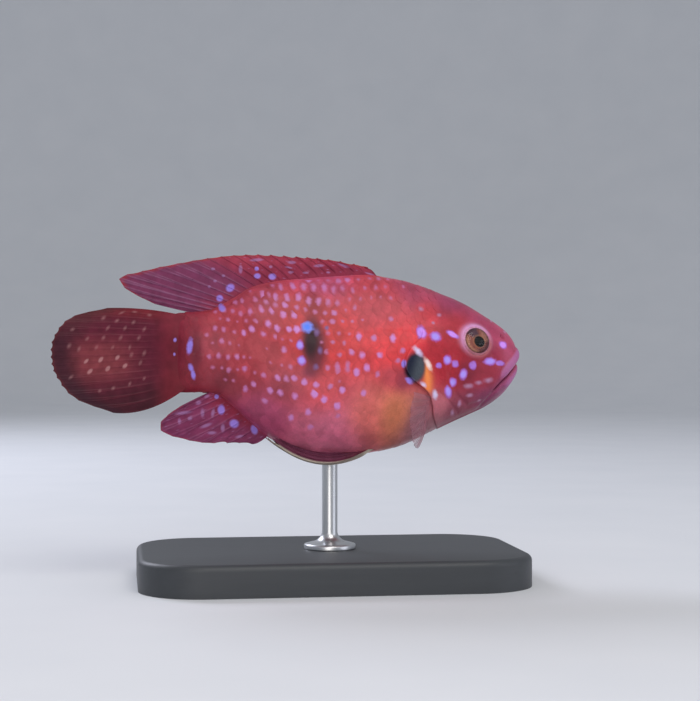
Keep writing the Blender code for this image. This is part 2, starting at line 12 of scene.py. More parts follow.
import bpy
import numpy as np
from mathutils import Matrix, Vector


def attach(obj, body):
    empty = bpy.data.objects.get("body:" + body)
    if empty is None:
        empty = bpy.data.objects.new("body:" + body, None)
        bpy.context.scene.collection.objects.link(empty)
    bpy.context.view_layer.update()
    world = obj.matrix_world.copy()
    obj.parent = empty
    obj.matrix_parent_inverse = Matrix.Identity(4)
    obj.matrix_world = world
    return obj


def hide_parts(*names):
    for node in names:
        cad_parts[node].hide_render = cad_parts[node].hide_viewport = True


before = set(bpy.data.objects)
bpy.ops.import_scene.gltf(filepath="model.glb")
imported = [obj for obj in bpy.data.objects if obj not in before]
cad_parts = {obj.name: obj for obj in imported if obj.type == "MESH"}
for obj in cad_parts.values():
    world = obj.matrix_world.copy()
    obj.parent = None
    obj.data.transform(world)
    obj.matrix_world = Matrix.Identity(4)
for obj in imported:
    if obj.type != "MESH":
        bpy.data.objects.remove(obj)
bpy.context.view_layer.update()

MM = 0.001
AXIS_HEIGHT = 44.0
ROD_X = 8.0
SWING_FROM_X, SWING, TAIL_TIP_X = 5.0, 6.0, -45.0


def to_row(points, swung=True):
    """Straight-fish millimetres to metres on the stand, the tail swung to the fish's right."""
    placed = np.array(points, float)
    share = np.maximum(SWING_FROM_X - placed[..., 0], 0) / (SWING_FROM_X - TAIL_TIP_X)
    placed[..., 1] -= SWING * swung * share**2
    return (placed + (-ROD_X, 0, AXIS_HEIGHT)) * MM


# %% [markdown]
# ## Camera, floor and light
# The photograph looks almost squarely at the fish's right side, with a lens that flattens it
# slightly. A pale floor that curves up all round, like a wide dish, gives a calm background from
# every side. Four soft disc lights stand round it: a large one above and in front for the long
# wet highlight on the back, a fill at the head end, a low one beside the flank, and one behind
# the tail that shines through the fins. The camera doesn't see them.

# %% Camera
CAMERA_AZIMUTH = math.radians(-8)
CAMERA_DISTANCE = 0.321
CAMERA_TARGET = Vector((0.00396, 0.0, 0.0443))


def aim(obj, place, target):
    """Puts an object into the scene at a place, looking at a target."""
    obj.location = place
    obj.rotation_euler = (Vector(target) - Vector(place)).to_track_quat("-Z", "Y").to_euler()
    bpy.context.scene.collection.objects.link(obj)
    return obj


camera = bpy.data.objects.new("camera", bpy.data.cameras.new("camera"))
camera.data.lens = 85
camera.data.sensor_width = 36
camera.data.clip_start = 0.01
camera_side = Vector((math.sin(CAMERA_AZIMUTH), -math.cos(CAMERA_AZIMUTH), 0))
aim(camera, CAMERA_TARGET + camera_side * CAMERA_DISTANCE, CAMERA_TARGET)
bpy.context.scene.camera = camera
print("camera at", [round(v, 3) for v in camera.location])

# %% [markdown]
# Materials are built from nodes. One small function adds a node, sets its properties and links
# its inputs, and another turns an sRGB hex code into the linear colour that a shader wants.

# %% Colour and node helpers
def colour(code):
    """The linear colour, with full alpha, of an sRGB hex code."""
    shares = [int(code[i:i + 2], 16) / 255 for i in (1, 3, 5)]
    return [c / 12.92 if c <= 0.04045 else ((c + 0.055) / 1.055) ** 2.4 for c in shares] + [1.0]


def add_node(tree, kind, settings=None, inputs=None):
    """Adds a node, sets its properties, and sets or links its inputs."""
    node = tree.nodes.new(kind)
    for key, value in (settings or {}).items():
        setattr(node, key, value)
    for key, value in (inputs or {}).items():
        if isinstance(value, bpy.types.NodeSocket):
            tree.links.new(value, node.inputs[key])
        else:
            node.inputs[key].default_value = value
    return node


def start_material(name, **constants):
    """A new material, its node tree and its Principled shader with constant values set."""
    made = bpy.data.materials.new(name)
    made.use_nodes = True
    shader = made.node_tree.nodes["Principled BSDF"]
    for key, value in constants.items():
        shader.inputs[key.replace("_", " ")].default_value = value
    return made, made.node_tree, shader

print("a mid red in linear light:", [round(c, 3) for c in colour("#C83C40")[:3]])


# %% Dish floor
FLOOR_RADIUS, FLOOR_RIM, FLOOR_TOP = 0.9, 0.5, 0.55
profile = [(r, 0.0) for r in (0.0, 0.1, 0.3, 0.6, FLOOR_RADIUS)]
for step in range(1, 13):
    turn = step / 12 * math.pi / 2
    profile.append((FLOOR_RADIUS + FLOOR_RIM * math.sin(turn), FLOOR_TOP * (1 - math.cos(turn))))
SPOKES = 96
points, faces = [(0, 0, 0)], []
for radius, height in profile[1:]:
    for spoke in range(SPOKES):
        turn = spoke * 2 * math.pi / SPOKES
        points.append((radius * math.cos(turn), radius * math.sin(turn), height))
for spoke in range(SPOKES):
    following = (spoke + 1) % SPOKES
    faces.append((0, 1 + spoke, 1 + following))
    for ring in range(len(profile) - 2):
        start, stop = 1 + ring * SPOKES, 1 + (ring + 1) * SPOKES
        faces.append((start + spoke, stop + spoke, stop + following, start + following))
floor_mesh = bpy.data.meshes.new("floor")
floor_mesh.from_pydata(points, [], faces)
floor_mesh.shade_smooth()
floor = bpy.data.objects.new("floor", floor_mesh)
bpy.context.scene.collection.objects.link(floor)
# Matt emulsion shows no highlight. Its rolled texture is too fine here, so the tone only drifts,
# about 30 times in a metre
floor_paint, tree, shader = start_material("matt_studio_paint", Roughness=0.85)
place = add_node(tree, "ShaderNodeTexCoord").outputs["Object"]
grain = add_node(tree, "ShaderNodeTexNoise", inputs={"Vector": place, "Scale": 30.0}).outputs["Fac"]
tone = add_node(tree, "ShaderNodeMix", {"data_type": "RGBA"},
                {0: grain, 6: colour("#D9DCE0"), 7: colour("#E1E3E6")}).outputs[2]
tree.links.new(tone, shader.inputs["Base Color"])
floor_mesh.materials.append(floor_paint)
print("floor:", len(points), "points")

# %% Lights
LIGHTS = {
    "key_softbox": ((0.10, -0.42, 0.52), 1.5, 0.42, "#FFFAF4"),
    "head_fill": ((0.55, -0.30, 0.16), 0.5, 0.40, "#F2F4FF"),
    "front_fill": ((-0.12, -0.55, 0.17), 0.65, 0.32, "#FFF8F2"),
    "tail_rim": ((-0.34, 0.42, 0.40), 2.0, 0.30, "#EEF0FF"),
}
for name, (place, power, size, tint) in LIGHTS.items():
    lamp = bpy.data.lights.new(name, "AREA")
    lamp.energy = power
    lamp.shape = "DISK"
    lamp.size = size
    lamp.color = colour(tint)[:3]
    aim(bpy.data.objects.new(name, lamp), place, CAMERA_TARGET).visible_camera = False
world = bpy.data.worlds.new("studio")
world.use_nodes = True
world.node_tree.nodes["Background"].inputs["Color"].default_value = colour("#E9ECF4")
world.node_tree.nodes["Background"].inputs["Strength"].default_value = 0.5
bpy.context.scene.world = world
bpy.context.scene.view_settings.view_transform = "Standard"
print("lights:", ", ".join(LIGHTS))

# %% [markdown]
# ## The body as a chart
# A fish's body is smooth, so it is described by a few stations from the snout to the tail: where
# the back and the belly are, how wide it is, and how far the widest line sinks. A chart with two
# numbers, the distance along and the angle round from the back, gives a point anywhere on it.
# The skin, each scale and the seats of the fins are all placed on this one chart, so they agree.

# %% Stations and the chart
STATIONS = np.array([
    (44.8, -1.2, -1.2, 0.0, 0.00), (44.3, 1.9, -4.4, 2.9, 0.02), (42.9, 3.9, -7.2, 4.3, 0.05),
    (40.9, 5.5, -9.2, 5.2, 0.08), (38.4, 7.1, -10.8, 5.9, 0.12), (34.9, 9.2, -12.4, 6.9, 0.18),
    (31.0, 11.0, -14.1, 7.9, 0.24), (26.5, 12.8, -16.2, 8.8, 0.30), (21.7, 14.1, -18.3, 9.5, 0.34),
    (16.0, 14.8, -19.5, 9.9, 0.36), (9.5, 14.5, -19.9, 9.9, 0.36), (3.0, 14.0, -19.4, 9.2, 0.34),
    (-2.6, 13.5, -17.2, 8.0, 0.28), (-7.4, 12.2, -13.4, 6.5, 0.18), (-10.6, 10.2, -10.5, 5.2, 0.10),
    (-13.6, 8.6, -8.4, 4.2, 0.04), (-17.2, 7.8, -7.8, 3.1, 0.0), (-20.4, 7.6, -7.8, 1.7, 0.0),
    (-22.2, 7.2, -7.4, 0.7, 0.0),
])


def smooth_curve(keys, values, at):
    """Smooth curve through values at the rising keys, read at the places at."""
    keys, values, at = (np.asarray(v, float) for v in (keys, values, at))
    slopes = np.gradient(values, keys, axis=0)
    i = np.clip(np.searchsorted(keys, at, "right") - 1, 0, len(keys) - 2)
    span = keys[i + 1] - keys[i]
    f = (at - keys[i]) / span
    if values.ndim == 2:
        f, span = f[..., None], span[..., None]
    stay = 2 * f**3 - 3 * f**2 + 1
    bend = (f**3 - 2 * f**2 + f) * slopes[i] + (f**3 - f**2) * slopes[i + 1]
    return stay * values[i] + (1 - stay) * values[i + 1] + span * bend


def ramp(value, low, high):
    """0 below low and 1 above high, with a smooth rise between."""
    f = np.clip((value - low) / (high - low), 0, 1)
    return f * f * (3 - 2 * f)


def bump(value, width):
    """1 at zero, falling smoothly to nothing about two widths away."""
    return np.exp(-((value / width) ** 2))


mirrored = STATIONS[1, [0, 2, 1, 3, 4]] * (1, 1, 1, -1, 1)
STATION_TABLE = np.vstack([mirrored, STATIONS])
steps = np.hypot(np.diff(STATION_TABLE[:, 0]), np.diff(STATION_TABLE[:, 1]))
steps[0] = steps[1]
STATION_KEYS = np.concatenate([[0], np.cumsum(steps)]) - steps[0]
BODY_END = STATION_KEYS[-1]
FINE_KEYS = np.linspace(0, BODY_END, 2000)
FINE_TABLE = smooth_curve(STATION_KEYS, STATION_TABLE, FINE_KEYS)


def along_at(x):
    return np.interp(-np.asarray(x), -FINE_TABLE[:, 0], FINE_KEYS)


def back_z(x):
    return np.interp(along_at(x), FINE_KEYS, FINE_TABLE[:, 1])


def belly_z(x):
    return np.interp(along_at(x), FINE_KEYS, FINE_TABLE[:, 2])


def section(along, angle):
    """Points of the plain body at a distance along it and an angle from the back to the left."""
    row = smooth_curve(STATION_KEYS, STATION_TABLE, along)
    x, back, belly, half, egg = np.moveaxis(row, -1, 0)
    lean = np.maximum(egg, 1e-6)
    widest = (1 - np.sqrt(1 + 8 * lean**2)) / (4 * lean)
    fullest = np.sqrt(1 - widest**2) * (1 - lean * widest)
    y = half * np.sin(angle) * (1 - lean * np.cos(angle)) / fullest
    return np.stack([x, y, (back + belly) / 2 + (back - belly) / 2 * np.cos(angle)], axis=-1)


CHART_STEP = 0.02


def chart_steps(along, angle):
    """How the point moves for each millimetre along and each radian round."""
    down = section(along + CHART_STEP, angle) - section(along - CHART_STEP, angle)
    across = section(along, angle + CHART_STEP) - section(along, angle - CHART_STEP)
    return down / (2 * CHART_STEP), across / (2 * CHART_STEP)


def surface(along, angle):
    """Points of the plain body and the normals there."""
    down, across = chart_steps(along, angle)
    normal = np.cross(across, down)
    length = np.linalg.norm(normal, axis=-1, keepdims=True)
    normal = np.where(length > 1e-9, normal / np.maximum(length, 1e-9), (1.0, 0.0, 0.0))
    return section(along, angle), normal


def flank_turn(x, z):
    """The chart's angle on the left flank at x, z as seen from the side."""
    middle, half = (back_z(x) + belly_z(x)) / 2, (back_z(x) - belly_z(x)) / 2
    return np.arccos(np.clip((z - middle) / half, -1, 1))

def flank(x, z):
    """The point of the left flank seen at x, z from the side, and the normal there."""
    return surface(along_at(x), flank_turn(x, z))


print("body length along the chart:", round(float(BODY_END), 1), "mm")

# %% [markdown]
# ## Relief of the head
# The head has no plates standing out, but its relief is what makes it a living one: the free edge
# of the gill cover, two fleshy lips round a closed mouth, the rim of the eye socket, one nostril
# on each side, and the shallow creases where the cheek bones meet. Each is a small height over the
# plain body, worked out from the distance to a point or a line that a maker can measure.

# %% Places on the head
GILL_EDGE = np.array([
    (-22.0, 36.0), (-16.5, 30.6), (-14.8, 28.6), (-12.4, 27.1), (-9.9, 26.5), (-7.4, 25.3),
    (-5.2, 22.6), (-2.5, 21.1), (0.4, 22.2), (2.9, 24.6), (6.0, 24.6), (10.0, 23.4), (17.0, 21.0),
])
GILL_TOP, GILL_BOTTOM, GILL_FLARE, GILL_FLARE_REACH = 3.6, -15.0, 0.6, 7.0
MOUTH_CORNER = (39.7, -7.5)
MOUTH_ANGLE = math.radians(48)
LIP_TURN = math.radians(98)
LIP_RADII = (1.1, 0.95)
LIP_SINK = 0.55
EYE = (35.7, 2.1)
NOSTRIL = (41.3, 3.0)
CREASES = {
    "cheek": (((31.2, -0.6), (30.2, -4.4), (31.4, -8.0), (34.2, -10.4), (37.0, -9.6)), 0.16, 0.4),
    "gill_cover_front": (((28.0, 2.9), (29.2, -1.4), (30.0, -5.2)), 0.07, 0.3),
    "gill_cover_foot": (((27.6, -7.4), (29.6, -9.0), (32.2, -11.6)), 0.12, 0.3),
    "jaw_hinge": (((39.7, -7.5), (38.2, -9.2), (36.4, -11.6)), 0.22, 0.35),
    "eye_to_lip": (((38.9, -0.4), (40.6, -2.6), (41.0, -4.8), (39.9, -7.0)), 0.14, 0.5),
}
EYE_POINT, EYE_NORMAL = flank(*EYE)
NOSTRIL_POINT = flank(*NOSTRIL)[0]


def gill_edge_x(z):
    return smooth_curve(GILL_EDGE[:, 0], GILL_EDGE[:, 1], z)


def gill_flare(ahead, z):
    """How far the gill cover stands out, a distance ahead of its free edge."""
    reach = 1 - ramp(ahead, 0, GILL_FLARE_REACH)
    lower = 0.3 + 0.7 * ramp(z, GILL_BOTTOM, GILL_BOTTOM + 6)
    return GILL_FLARE * reach * lower * (1 - ramp(z, 1.2, GILL_TOP + 1))


def line_distance(x, z, line):
    """How far points are, seen from the side, from a line through x, z corners."""
    nearest = np.full(np.shape(x), 1e3)
    for (x0, z0), (x1, z1) in zip(line, line[1:]):
        dx, dz = x1 - x0, z1 - z0
        f = np.clip(((x - x0) * dx + (z - z0) * dz) / (dx * dx + dz * dz), 0, 1)
        nearest = np.minimum(nearest, np.hypot(x - x0 - f * dx, z - z0 - f * dz))
    return nearest


def distance_to(points, place):
    """Distance from points of either flank to a place on the left one, or to its mirror image."""
    return np.linalg.norm(np.abs(points * (0, 1, 0)) + points * (1, 0, 1) - place, axis=-1)


def mouth_places(points):
    """Height over the mouth's plane, and the turn round from the front, in radians."""
    x, y, z = np.moveaxis(points, -1, 0)
    dx, dz = x - MOUTH_CORNER[0], z - MOUTH_CORNER[1]
    forward = dx * math.cos(MOUTH_ANGLE) + dz * math.sin(MOUTH_ANGLE)
    above = dz * math.cos(MOUTH_ANGLE) - dx * math.sin(MOUTH_ANGLE)
    return above, np.arctan2(np.abs(y), forward)


def lip_height(points):
    """The fleshy beads of both lips, over the plain body, and the cleft between them."""
    above, turn = mouth_places(points)
    to_corner = ramp(turn, 0.45 * LIP_TURN, LIP_TURN)
    height = np.zeros(above.shape)
    for side, front_radius in zip((1, -1), LIP_RADII):
        radius = front_radius * (1 - 0.6 * to_corner)
        off = side * above - radius - 0.05
        bead = np.sqrt(np.maximum(radius**2 - off**2, 0)) - LIP_SINK * (1 + to_corner)
        bead = (bead + np.sqrt(bead**2 + 0.12**2)) / 2 - 0.03
        height = np.maximum(height, bead)
    height = height * (1 - ramp(turn, 0.92 * LIP_TURN, 1.1 * LIP_TURN))
    cleft = bump(above, 0.17) * (1 - ramp(turn, 0.8 * LIP_TURN, 1.02 * LIP_TURN))
    return height, cleft


def head_relief(points, normal, ahead):
    """How far the head's skin stands out of the plain body, ahead of the gill edge."""
    x, y, z = np.moveaxis(points, -1, 0)
    facing = ramp(np.abs(normal[..., 1]), 0.2, 0.6)
    from_eye = distance_to(points, EYE_POINT)
    rise = 0.36 * bump(from_eye - 3.1, 0.5) - 1.5 * (1 - ramp(from_eye, 2.42, 2.68))
    rise += gill_flare(ahead, z) * np.abs(normal[..., 1])
    lips, cleft = lip_height(points)
    rise += lips - 1.5 * cleft
    from_nostril = distance_to(points, NOSTRIL_POINT)
    rise += 0.14 * bump(from_nostril - 0.62, 0.2) - 0.55 * bump(from_nostril, 0.4)
    for line, depth, width in CREASES.values():
        rise -= depth * bump(line_distance(x, z, line), width) * facing
    throat = ramp(-normal[..., 2], 0.45, 0.85) * ramp(x, 27, 30) * (1 - ramp(x, 39, 41))
    rise -= 0.25 * bump(np.abs(y) - 1.2 - 0.16 * (40 - x), 0.3) * throat
    return rise


print("eye on the flank at", np.round(EYE_POINT, 1))

# %% [markdown]
# ## The skin
# One closed skin stands for the head, jaw, gill covers, trunk and tail stalk, so that no seam
# shows. Its rings are bent so that one of them runs exactly along the free edge of the gill cover.
# The next two rings drop down and tuck forward under that edge, which leaves a real slit behind
# the cover instead of a painted line. Behind it the skin lies a little low, to leave room for the
# scales.

# %% Skin grid
AROUND, HEAD_RINGS, TRUNK_RINGS = 284, 196, 130
SCALE_DEPTH = 0.14


def edge_along(angle):
    """Distance along the body at which the gill edge crosses each angle, by halving."""
    near, far = np.zeros(angle.shape), np.full(angle.shape, BODY_END)
    for _ in range(40):
        middle = (near + far) / 2
        point = section(middle, angle)
        ahead = point[..., 0] > gill_edge_x(point[..., 2])
        near, far = np.where(ahead, middle, near), np.where(ahead, far, middle)
    return near


def scaled_share(points):
    """1 where the skin carries scale plates, fading to 0 on the head and the tail's base."""
    x, _, z = np.moveaxis(points, -1, 0)
    behind = ramp(gill_edge_x(z) - x, -0.1, 0.1)
    nape = ramp(z, 5.0, 7.5) * (1 - ramp(x, 29.5, 32.5))
    return np.maximum(behind, nape) * ramp(x, -21.2, -20.2)


def fin_seats(points):
    """The low ridges of flesh that the dorsal and anal fins grow from."""
    x, y, z = np.moveaxis(points, -1, 0)
    over = ramp(z, 7, 8) * ramp(x, -15.5, -13) * (1 - ramp(x, 16, 20))
    under = (1 - ramp(z, -8, -7)) * ramp(x, -14.5, -12.5) * (1 - ramp(x, -5, -1))
    return 0.35 * bump(y, 0.75) * np.maximum(over, under)


angle = math.pi + np.arange(AROUND) * 2 * math.pi / AROUND
edge = edge_along(angle)
head_share = np.arange(1, HEAD_RINGS + 1)[:, None] / HEAD_RINGS
trunk_share = np.arange(1, TRUNK_RINGS + 1)[:, None] / TRUNK_RINGS
edge_z = section(edge, angle)[..., 2]
slit = gill_flare(0, edge_z) / GILL_FLARE
along = np.vstack([
    edge * head_share, edge + 0.03, edge + 0.06 - 0.7 * slit, edge + 0.12,
    edge + 0.12 + (BODY_END - edge - 0.12) * trunk_share,
])
plain, normal = surface(along, angle + 0 * along)
rise = np.zeros(along.shape)
is_head = np.arange(len(along)) < HEAD_RINGS
ahead = plain[..., 0] - gill_edge_x(plain[..., 2])
rise[is_head] = head_relief(plain[is_head], normal[is_head], ahead[is_head])
rise[HEAD_RINGS] = 0.4 * GILL_FLARE * slit * np.abs(normal[HEAD_RINGS, :, 1])
rise -= SCALE_DEPTH * scaled_share(plain)
rise[HEAD_RINGS + 1] = -0.25 * slit - SCALE_DEPTH
rise += fin_seats(plain)
skin_points = plain + normal * rise[..., None]
skin_points[..., 1] *= 1 - 0.72 * ramp(-plain[..., 0], 20.2, 22.1)
snout = STATIONS[0, [0, 1, 1]] * (1, 0, 1)
tail_end = skin_points[-1].mean(0) - (0.4, 0, 0)
skin_vertices = np.concatenate([skin_points.reshape(-1, 3), [snout, tail_end]])
skin_plain = np.concatenate([plain.reshape(-1, 3), [snout, tail_end]])
rings = len(along)
faces, uv = [], []
for i in range(rings - 1):
    for j in range(AROUND):
        k = (j + 1) % AROUND
        a, b = i * AROUND, (i + 1) * AROUND
        faces.append((a + j, b + j, b + k, a + k))
        uv += [((i + 1) / (rings + 1), j / AROUND), ((i + 2) / (rings + 1), j / AROUND),
               ((i + 2) / (rings + 1), (j + 1) / AROUND), ((i + 1) / (rings + 1), (j + 1) / AROUND)]
for j in range(AROUND):
    k = (j + 1) % AROUND
    last = (rings - 1) * AROUND
    near, between, far = j / AROUND, (j + 0.5) / AROUND, (j + 1) / AROUND
    faces += [(rings * AROUND, j, k), (last + j, rings * AROUND + 1, last + k)]
    uv += [(0, between), (1 / (rings + 1), near), (1 / (rings + 1), far)]
    uv += [(rings / (rings + 1), near), (1, between), (rings / (rings + 1), far)]
print("skin:", len(skin_vertices), "points,", rings, "rings")

# %% [markdown]
# ## Markings
# A jewel cichlid is orange-red with rows of pale blue and lilac flecks, a black blotch on the
# gill cover and another on the flank. The ground colour is laid as soft washes, a few of which are
# painted shade and painted sheen: each region has a middle, a reach and a colour, and every point
# takes a weighted mean. Flecks and blotches are kept as masks, numbers that run from below 0 to 1,
# which the shader turns into crisp spots. The same masks are used for the skin and the scales, so
# the markings run on across them.

# %% Ground washes
WASHES = {
    # The mauve of the snout, forehead, crown and nape washes is partly the head's own red and partly a painted bluish
    # sheen from above
    "snout": (43.2, 1.4, 2.7, "#B24C6C"), "chin": (42.6, -7.6, 2.4, "#9A4A74"),
    "forehead": (38.0, 7.0, 3.6, "#A84464"), "crown": (32.0, 10.6, 3.6, "#943E5E"),
    "nape": (25.0, 12.6, 4.4, "#AC4862"), "nape_foot": (26.0, 7.4, 2.4, "#D2444E"),
    "temple": (31.5, 5.0, 3.2, "#AC323E"), "cheek": (30.0, -2.0, 3.8, "#A82634"),
    "cheek_front": (33.6, -3.4, 2.4, "#7E2436"), "under_eye": (37.4, -4.2, 2.8, "#9C3042"),
    "jaw": (38.6, -9.6, 3.0, "#82385A"), "throat": (33.0, -12.4, 3.6, "#88384E"),
    "gill_cover": (26.6, -2.0, 3.0, "#B42C38"), "cover_rim": (27.8, -10.4, 1.7, "#C46C7A"),
    "shoulder": (19.0, 2.0, 5.0, "#E44248"), "shoulder_top": (17.0, 8.5, 4.5, "#C04854"),
    "behind_blotch": (18.6, -4.4, 2.0, "#B44650"), "blotch_foot": (3.0, -3.8, 1.4, "#8E3A54"),
    # Painted shade: the dark wash just behind the gill cover, at x 20.8 and z -5.2
    "shade_behind_cover": (20.8, -5.2, 1.7, "#9C3E50"), "snout_foot": (40.2, -0.3, 1.3, "#963048"),
    "back": (6.0, 13.8, 3.8, "#C25474"), "back_rear": (-7.0, 11.0, 4.0, "#AC4656"),
    "flank_top": (4.0, 8.0, 4.0, "#B64044"), "flank": (6.0, 2.0, 5.6, "#CE3C3E"),
    "flank_rear": (-8.0, 1.0, 6.0, "#AE3E48"), "low_flank": (6.0, -8.0, 4.6, "#CE4C54"),
    # Painted shade: the dark washes low on the rear flank and under the tail stalk
    "low_rear_shade": (-1.6, -6.6, 3.2, "#9E404E"), "stalk": (-14.0, 1.0, 3.2, "#A03A4A"),
    "stalk_under_shade": (-13.0, -4.6, 2.4, "#84323F"),
    "tail_base": (-21.0, 0.0, 2.8, "#761E30"), "tail_top": (-20.5, 6.0, 2.4, "#86283A"),
    "tail_foot": (-20.5, -6.0, 2.4, "#7A1E2E"), "gold_patch": (19.3, -12.2, 3.6, "#D87E5C"),
    "gold_fade": (13.5, -12.0, 4.2, "#DC6C66"), "chest": (24.2, -14.0, 3.8, "#A86C78"),
    "belly": (7.0, -14.6, 6.0, "#CC6884"), "vent": (-5.0, -12.6, 4.0, "#B04A6C"),
    # Painted shadow: the two dark washes low on the belly are the pelvic fins' shadow just above them
    "pelvic_fin_shadow": (9.0, -21.0, 1.6, "#5E2844"), "pelvic_fin_shadow_rear": (2.0, -20.0, 1.3, "#5E2844"),
}


def ground_colour(points):
    """The mean of the washes at points, weighted by nearness, in linear colour."""
    x, _, z = np.moveaxis(points, -1, 0)
    total, weights = np.zeros((*x.shape, 3)), np.zeros(x.shape)
    for middle_x, middle_z, reach, code in WASHES.values():
        share = (1 + ((x - middle_x) ** 2 + (z - middle_z) ** 2) / reach**2) ** -3.0
        total += share[..., None] * np.array(colour(code)[:3])
        weights += share
    return total / weights[..., None]


# %% Flecks and blotches
# x, z, half length, half height and tilt in degrees, front end up
HEAD_FLECKS = (
    (24.7, 3.7, 0.95, 1.25, 15), (27.4, 2.9, 1.15, 0.95, -15), (30.9, 3.4, 1.3, 0.55, -28),
    (41.3, 1.4, 0.85, 0.7, -25), (38.4, -1.8, 1.35, 0.72, 4), (29.6, -1.5, 0.8, 0.9, 10),
    (32.8, -4.25, 0.8, 1.05, -20), (30.7, -5.75, 0.72, 0.88, 0), (29.7, -7.5, 0.72, 1.2, 12),
)
SOFT_FLECKS = (
    (40.5, -2.15, 1.0, 0.52, -6), (34.8, -2.5, 0.75, 0.85, 0), (31.2, -2.2, 0.65, 0.72, 0),
    (27.8, -2.6, 0.62, 0.56, 0),
)
ROSY_FLECKS = tuple(HEAD_FLECKS[k] for k in (0, 2, 3))
BLOTCH_FLECKS = ((1.35, 1.35, 0.75, 0.9, 0), (1.6, -1.55, 0.85, 0.85, 0))
FAINT_FLECKS = (
    (33.9, -6.5, 1.1, 0.55, 0), (36.0, -5.9, 0.8, 0.45, 0), (38.1, -5.4, 1.05, 0.55, 8),
    (32.3, -9.9, 0.5, 0.75, 0), (34.3, -8.3, 0.8, 0.45, 0), (25.0, 8.3, 0.6, 0.55, 0),
    (31.0, -11.6, 0.45, 0.7, 15), (42.2, 3.9, 0.45, 0.3, -30), (28.6, 7.2, 0.5, 0.4, 0),
    (36.6, -9.4, 0.5, 0.32, 20), (39.6, 6.0, 0.35, 0.28, 0), (27.2, 5.6, 0.4, 0.35, 0),
)
DIM_FLECKS = (
    (4.6, 3.7, 0.6, 0.8, 0), (5.1, 0.3, 0.5, 0.8, 0), (4.2, -2.8, 0.6, 0.6, 0),
    (6.6, 4.6, 0.5, 0.5, 0),
)
WHITE_FLECKS = (
    (23.65, 0.05, 1.5, 0.62, -44), (26.85, -8.0, 0.62, 1.0, 15), (24.5, -6.15, 0.75, 0.52, -35),
)
CREAM_FLECKS = ((25.65, -2.25, 1.5, 0.56, -60),)
BLUE_RIM = ((20.9, -2.2, 0.45, 0.8, 0), (22.0, -5.4, 0.85, 0.6, -30))
GILL_BLOTCH = (23.0, -2.9, 2.25, 3.15, -8)
FLANK_BLOTCH = (3.5, 1.9, 1.8, 4.3, -4)
BLOTCH_HALO = (4.0, 1.4, 3.2, 8.0, 0)
BLOTCH_BAR = (4.6, 7.0, 2.6, 8.5, 0)
STALK_BLOTCH = (-18.0, 0.3, 1.7, 6.4, 0)
ORANGE_STRIPE = ((25.1, -3.0), (25.5, -4.9), (25.4, -6.8))
AZURE_FLECKS = ((2.85, 4.75, 1.1, 1.05, 0),)
VIOLET_FLECKS = ((-19.2, 1.2, 0.6, 1.6, -8), (-19.0, -2.9, 0.5, 0.8, 15), (-18.5, -4.3, 0.42, 1.0, 12),
                 (-13.0, 8.4, 0.6, 0.7, 0))


def oval(points, middle_x, middle_z, half_x, half_z, tilt):
    """1 at the middle of a tilted oval seen from the side, 0 on its edge, and below 0 outside."""
    x, _, z = np.moveaxis(points, -1, 0)
    across, along = math.sin(math.radians(tilt)), math.cos(math.radians(tilt))
    dx, dz = x - middle_x, z - middle_z
    return 1 - np.hypot((dx * along + dz * across) / half_x, (dz * along - dx * across) / half_z)


def ovals(points, table):
    """The highest of several ovals, and -1 far from all of them."""
    highest = np.full(points.shape[:-1], -1.0)
    for place in table:
        highest = np.maximum(highest, oval(points, *place))
    return highest


def markings(points):
    """Masks of every marking of the head and flank, and of the mouth's painted cleft shade, at points."""
    x, _, z = np.moveaxis(points, -1, 0)
    from_eye = distance_to(points, EYE_POINT)
    turn = np.arctan2(z - EYE[1], x - EYE[0])
    lips, cleft = lip_height(points)
    ahead = x - gill_edge_x(z)
    blotch = ramp(oval(points, *GILL_BLOTCH), -0.08, 0.36)
    slope = ramp(x - GILL_BLOTCH[0] - 0.35 * (z - GILL_BLOTCH[1]), -1.2, 1.0)
    halo = 0.95 * ramp(oval(points, *BLOTCH_HALO), 0.0, 0.6)
    for place, most, full in ((STALK_BLOTCH, 0.7, 0.8), (BLOTCH_BAR, 0.34, 0.7)):
        halo = np.maximum(halo, most * ramp(oval(points, *place), 0.0, full))
    upper_rear = 0.5 + 0.5 * np.cos(turn - math.radians(115))
    ring = bump(np.maximum(from_eye - 2.9, 0), 0.4 + 0.35 * upper_rear)
    return {
        "fleck": np.maximum(ovals(points, HEAD_FLECKS + BLOTCH_FLECKS),
                            np.minimum(ovals(points, SOFT_FLECKS), 0.25)),
        "rosy_fleck": ovals(points, ROSY_FLECKS),
        "faint_fleck": ovals(points, FAINT_FLECKS), "dim_fleck": ovals(points, DIM_FLECKS),
        "white_fleck": ovals(points, WHITE_FLECKS) - 2 * (1 - ramp(ahead, 0.0, 0.2)) * ramp(-z, 3, 5),
        "cream_fleck": ovals(points, CREAM_FLECKS),
        "azure_fleck": ovals(points, AZURE_FLECKS),
        "violet_fleck": ovals(points, VIOLET_FLECKS + BLUE_RIM),
        "black": blotch, "maroon": 0.96 * ramp(oval(points, *FLANK_BLOTCH), -0.1, 0.7),
        "slate": blotch * slope, "halo": halo,
        "orange": bump(line_distance(x, z, ORANGE_STRIPE), 0.95) * ramp(ahead, -0.1, 0.4),
        "orbit": ring * (0.15 + 0.85 * upper_rear),
        "orbit_foot": 0.8 * ring * (1 - ramp(upper_rear, 0.1, 0.6)),
        "lip": ramp(lips, 0.05, 0.4),
        "cleft": np.clip(cleft, 0, 1),
    }


print("washes:", len(WASHES), "head flecks:", len(HEAD_FLECKS + SOFT_FLECKS))

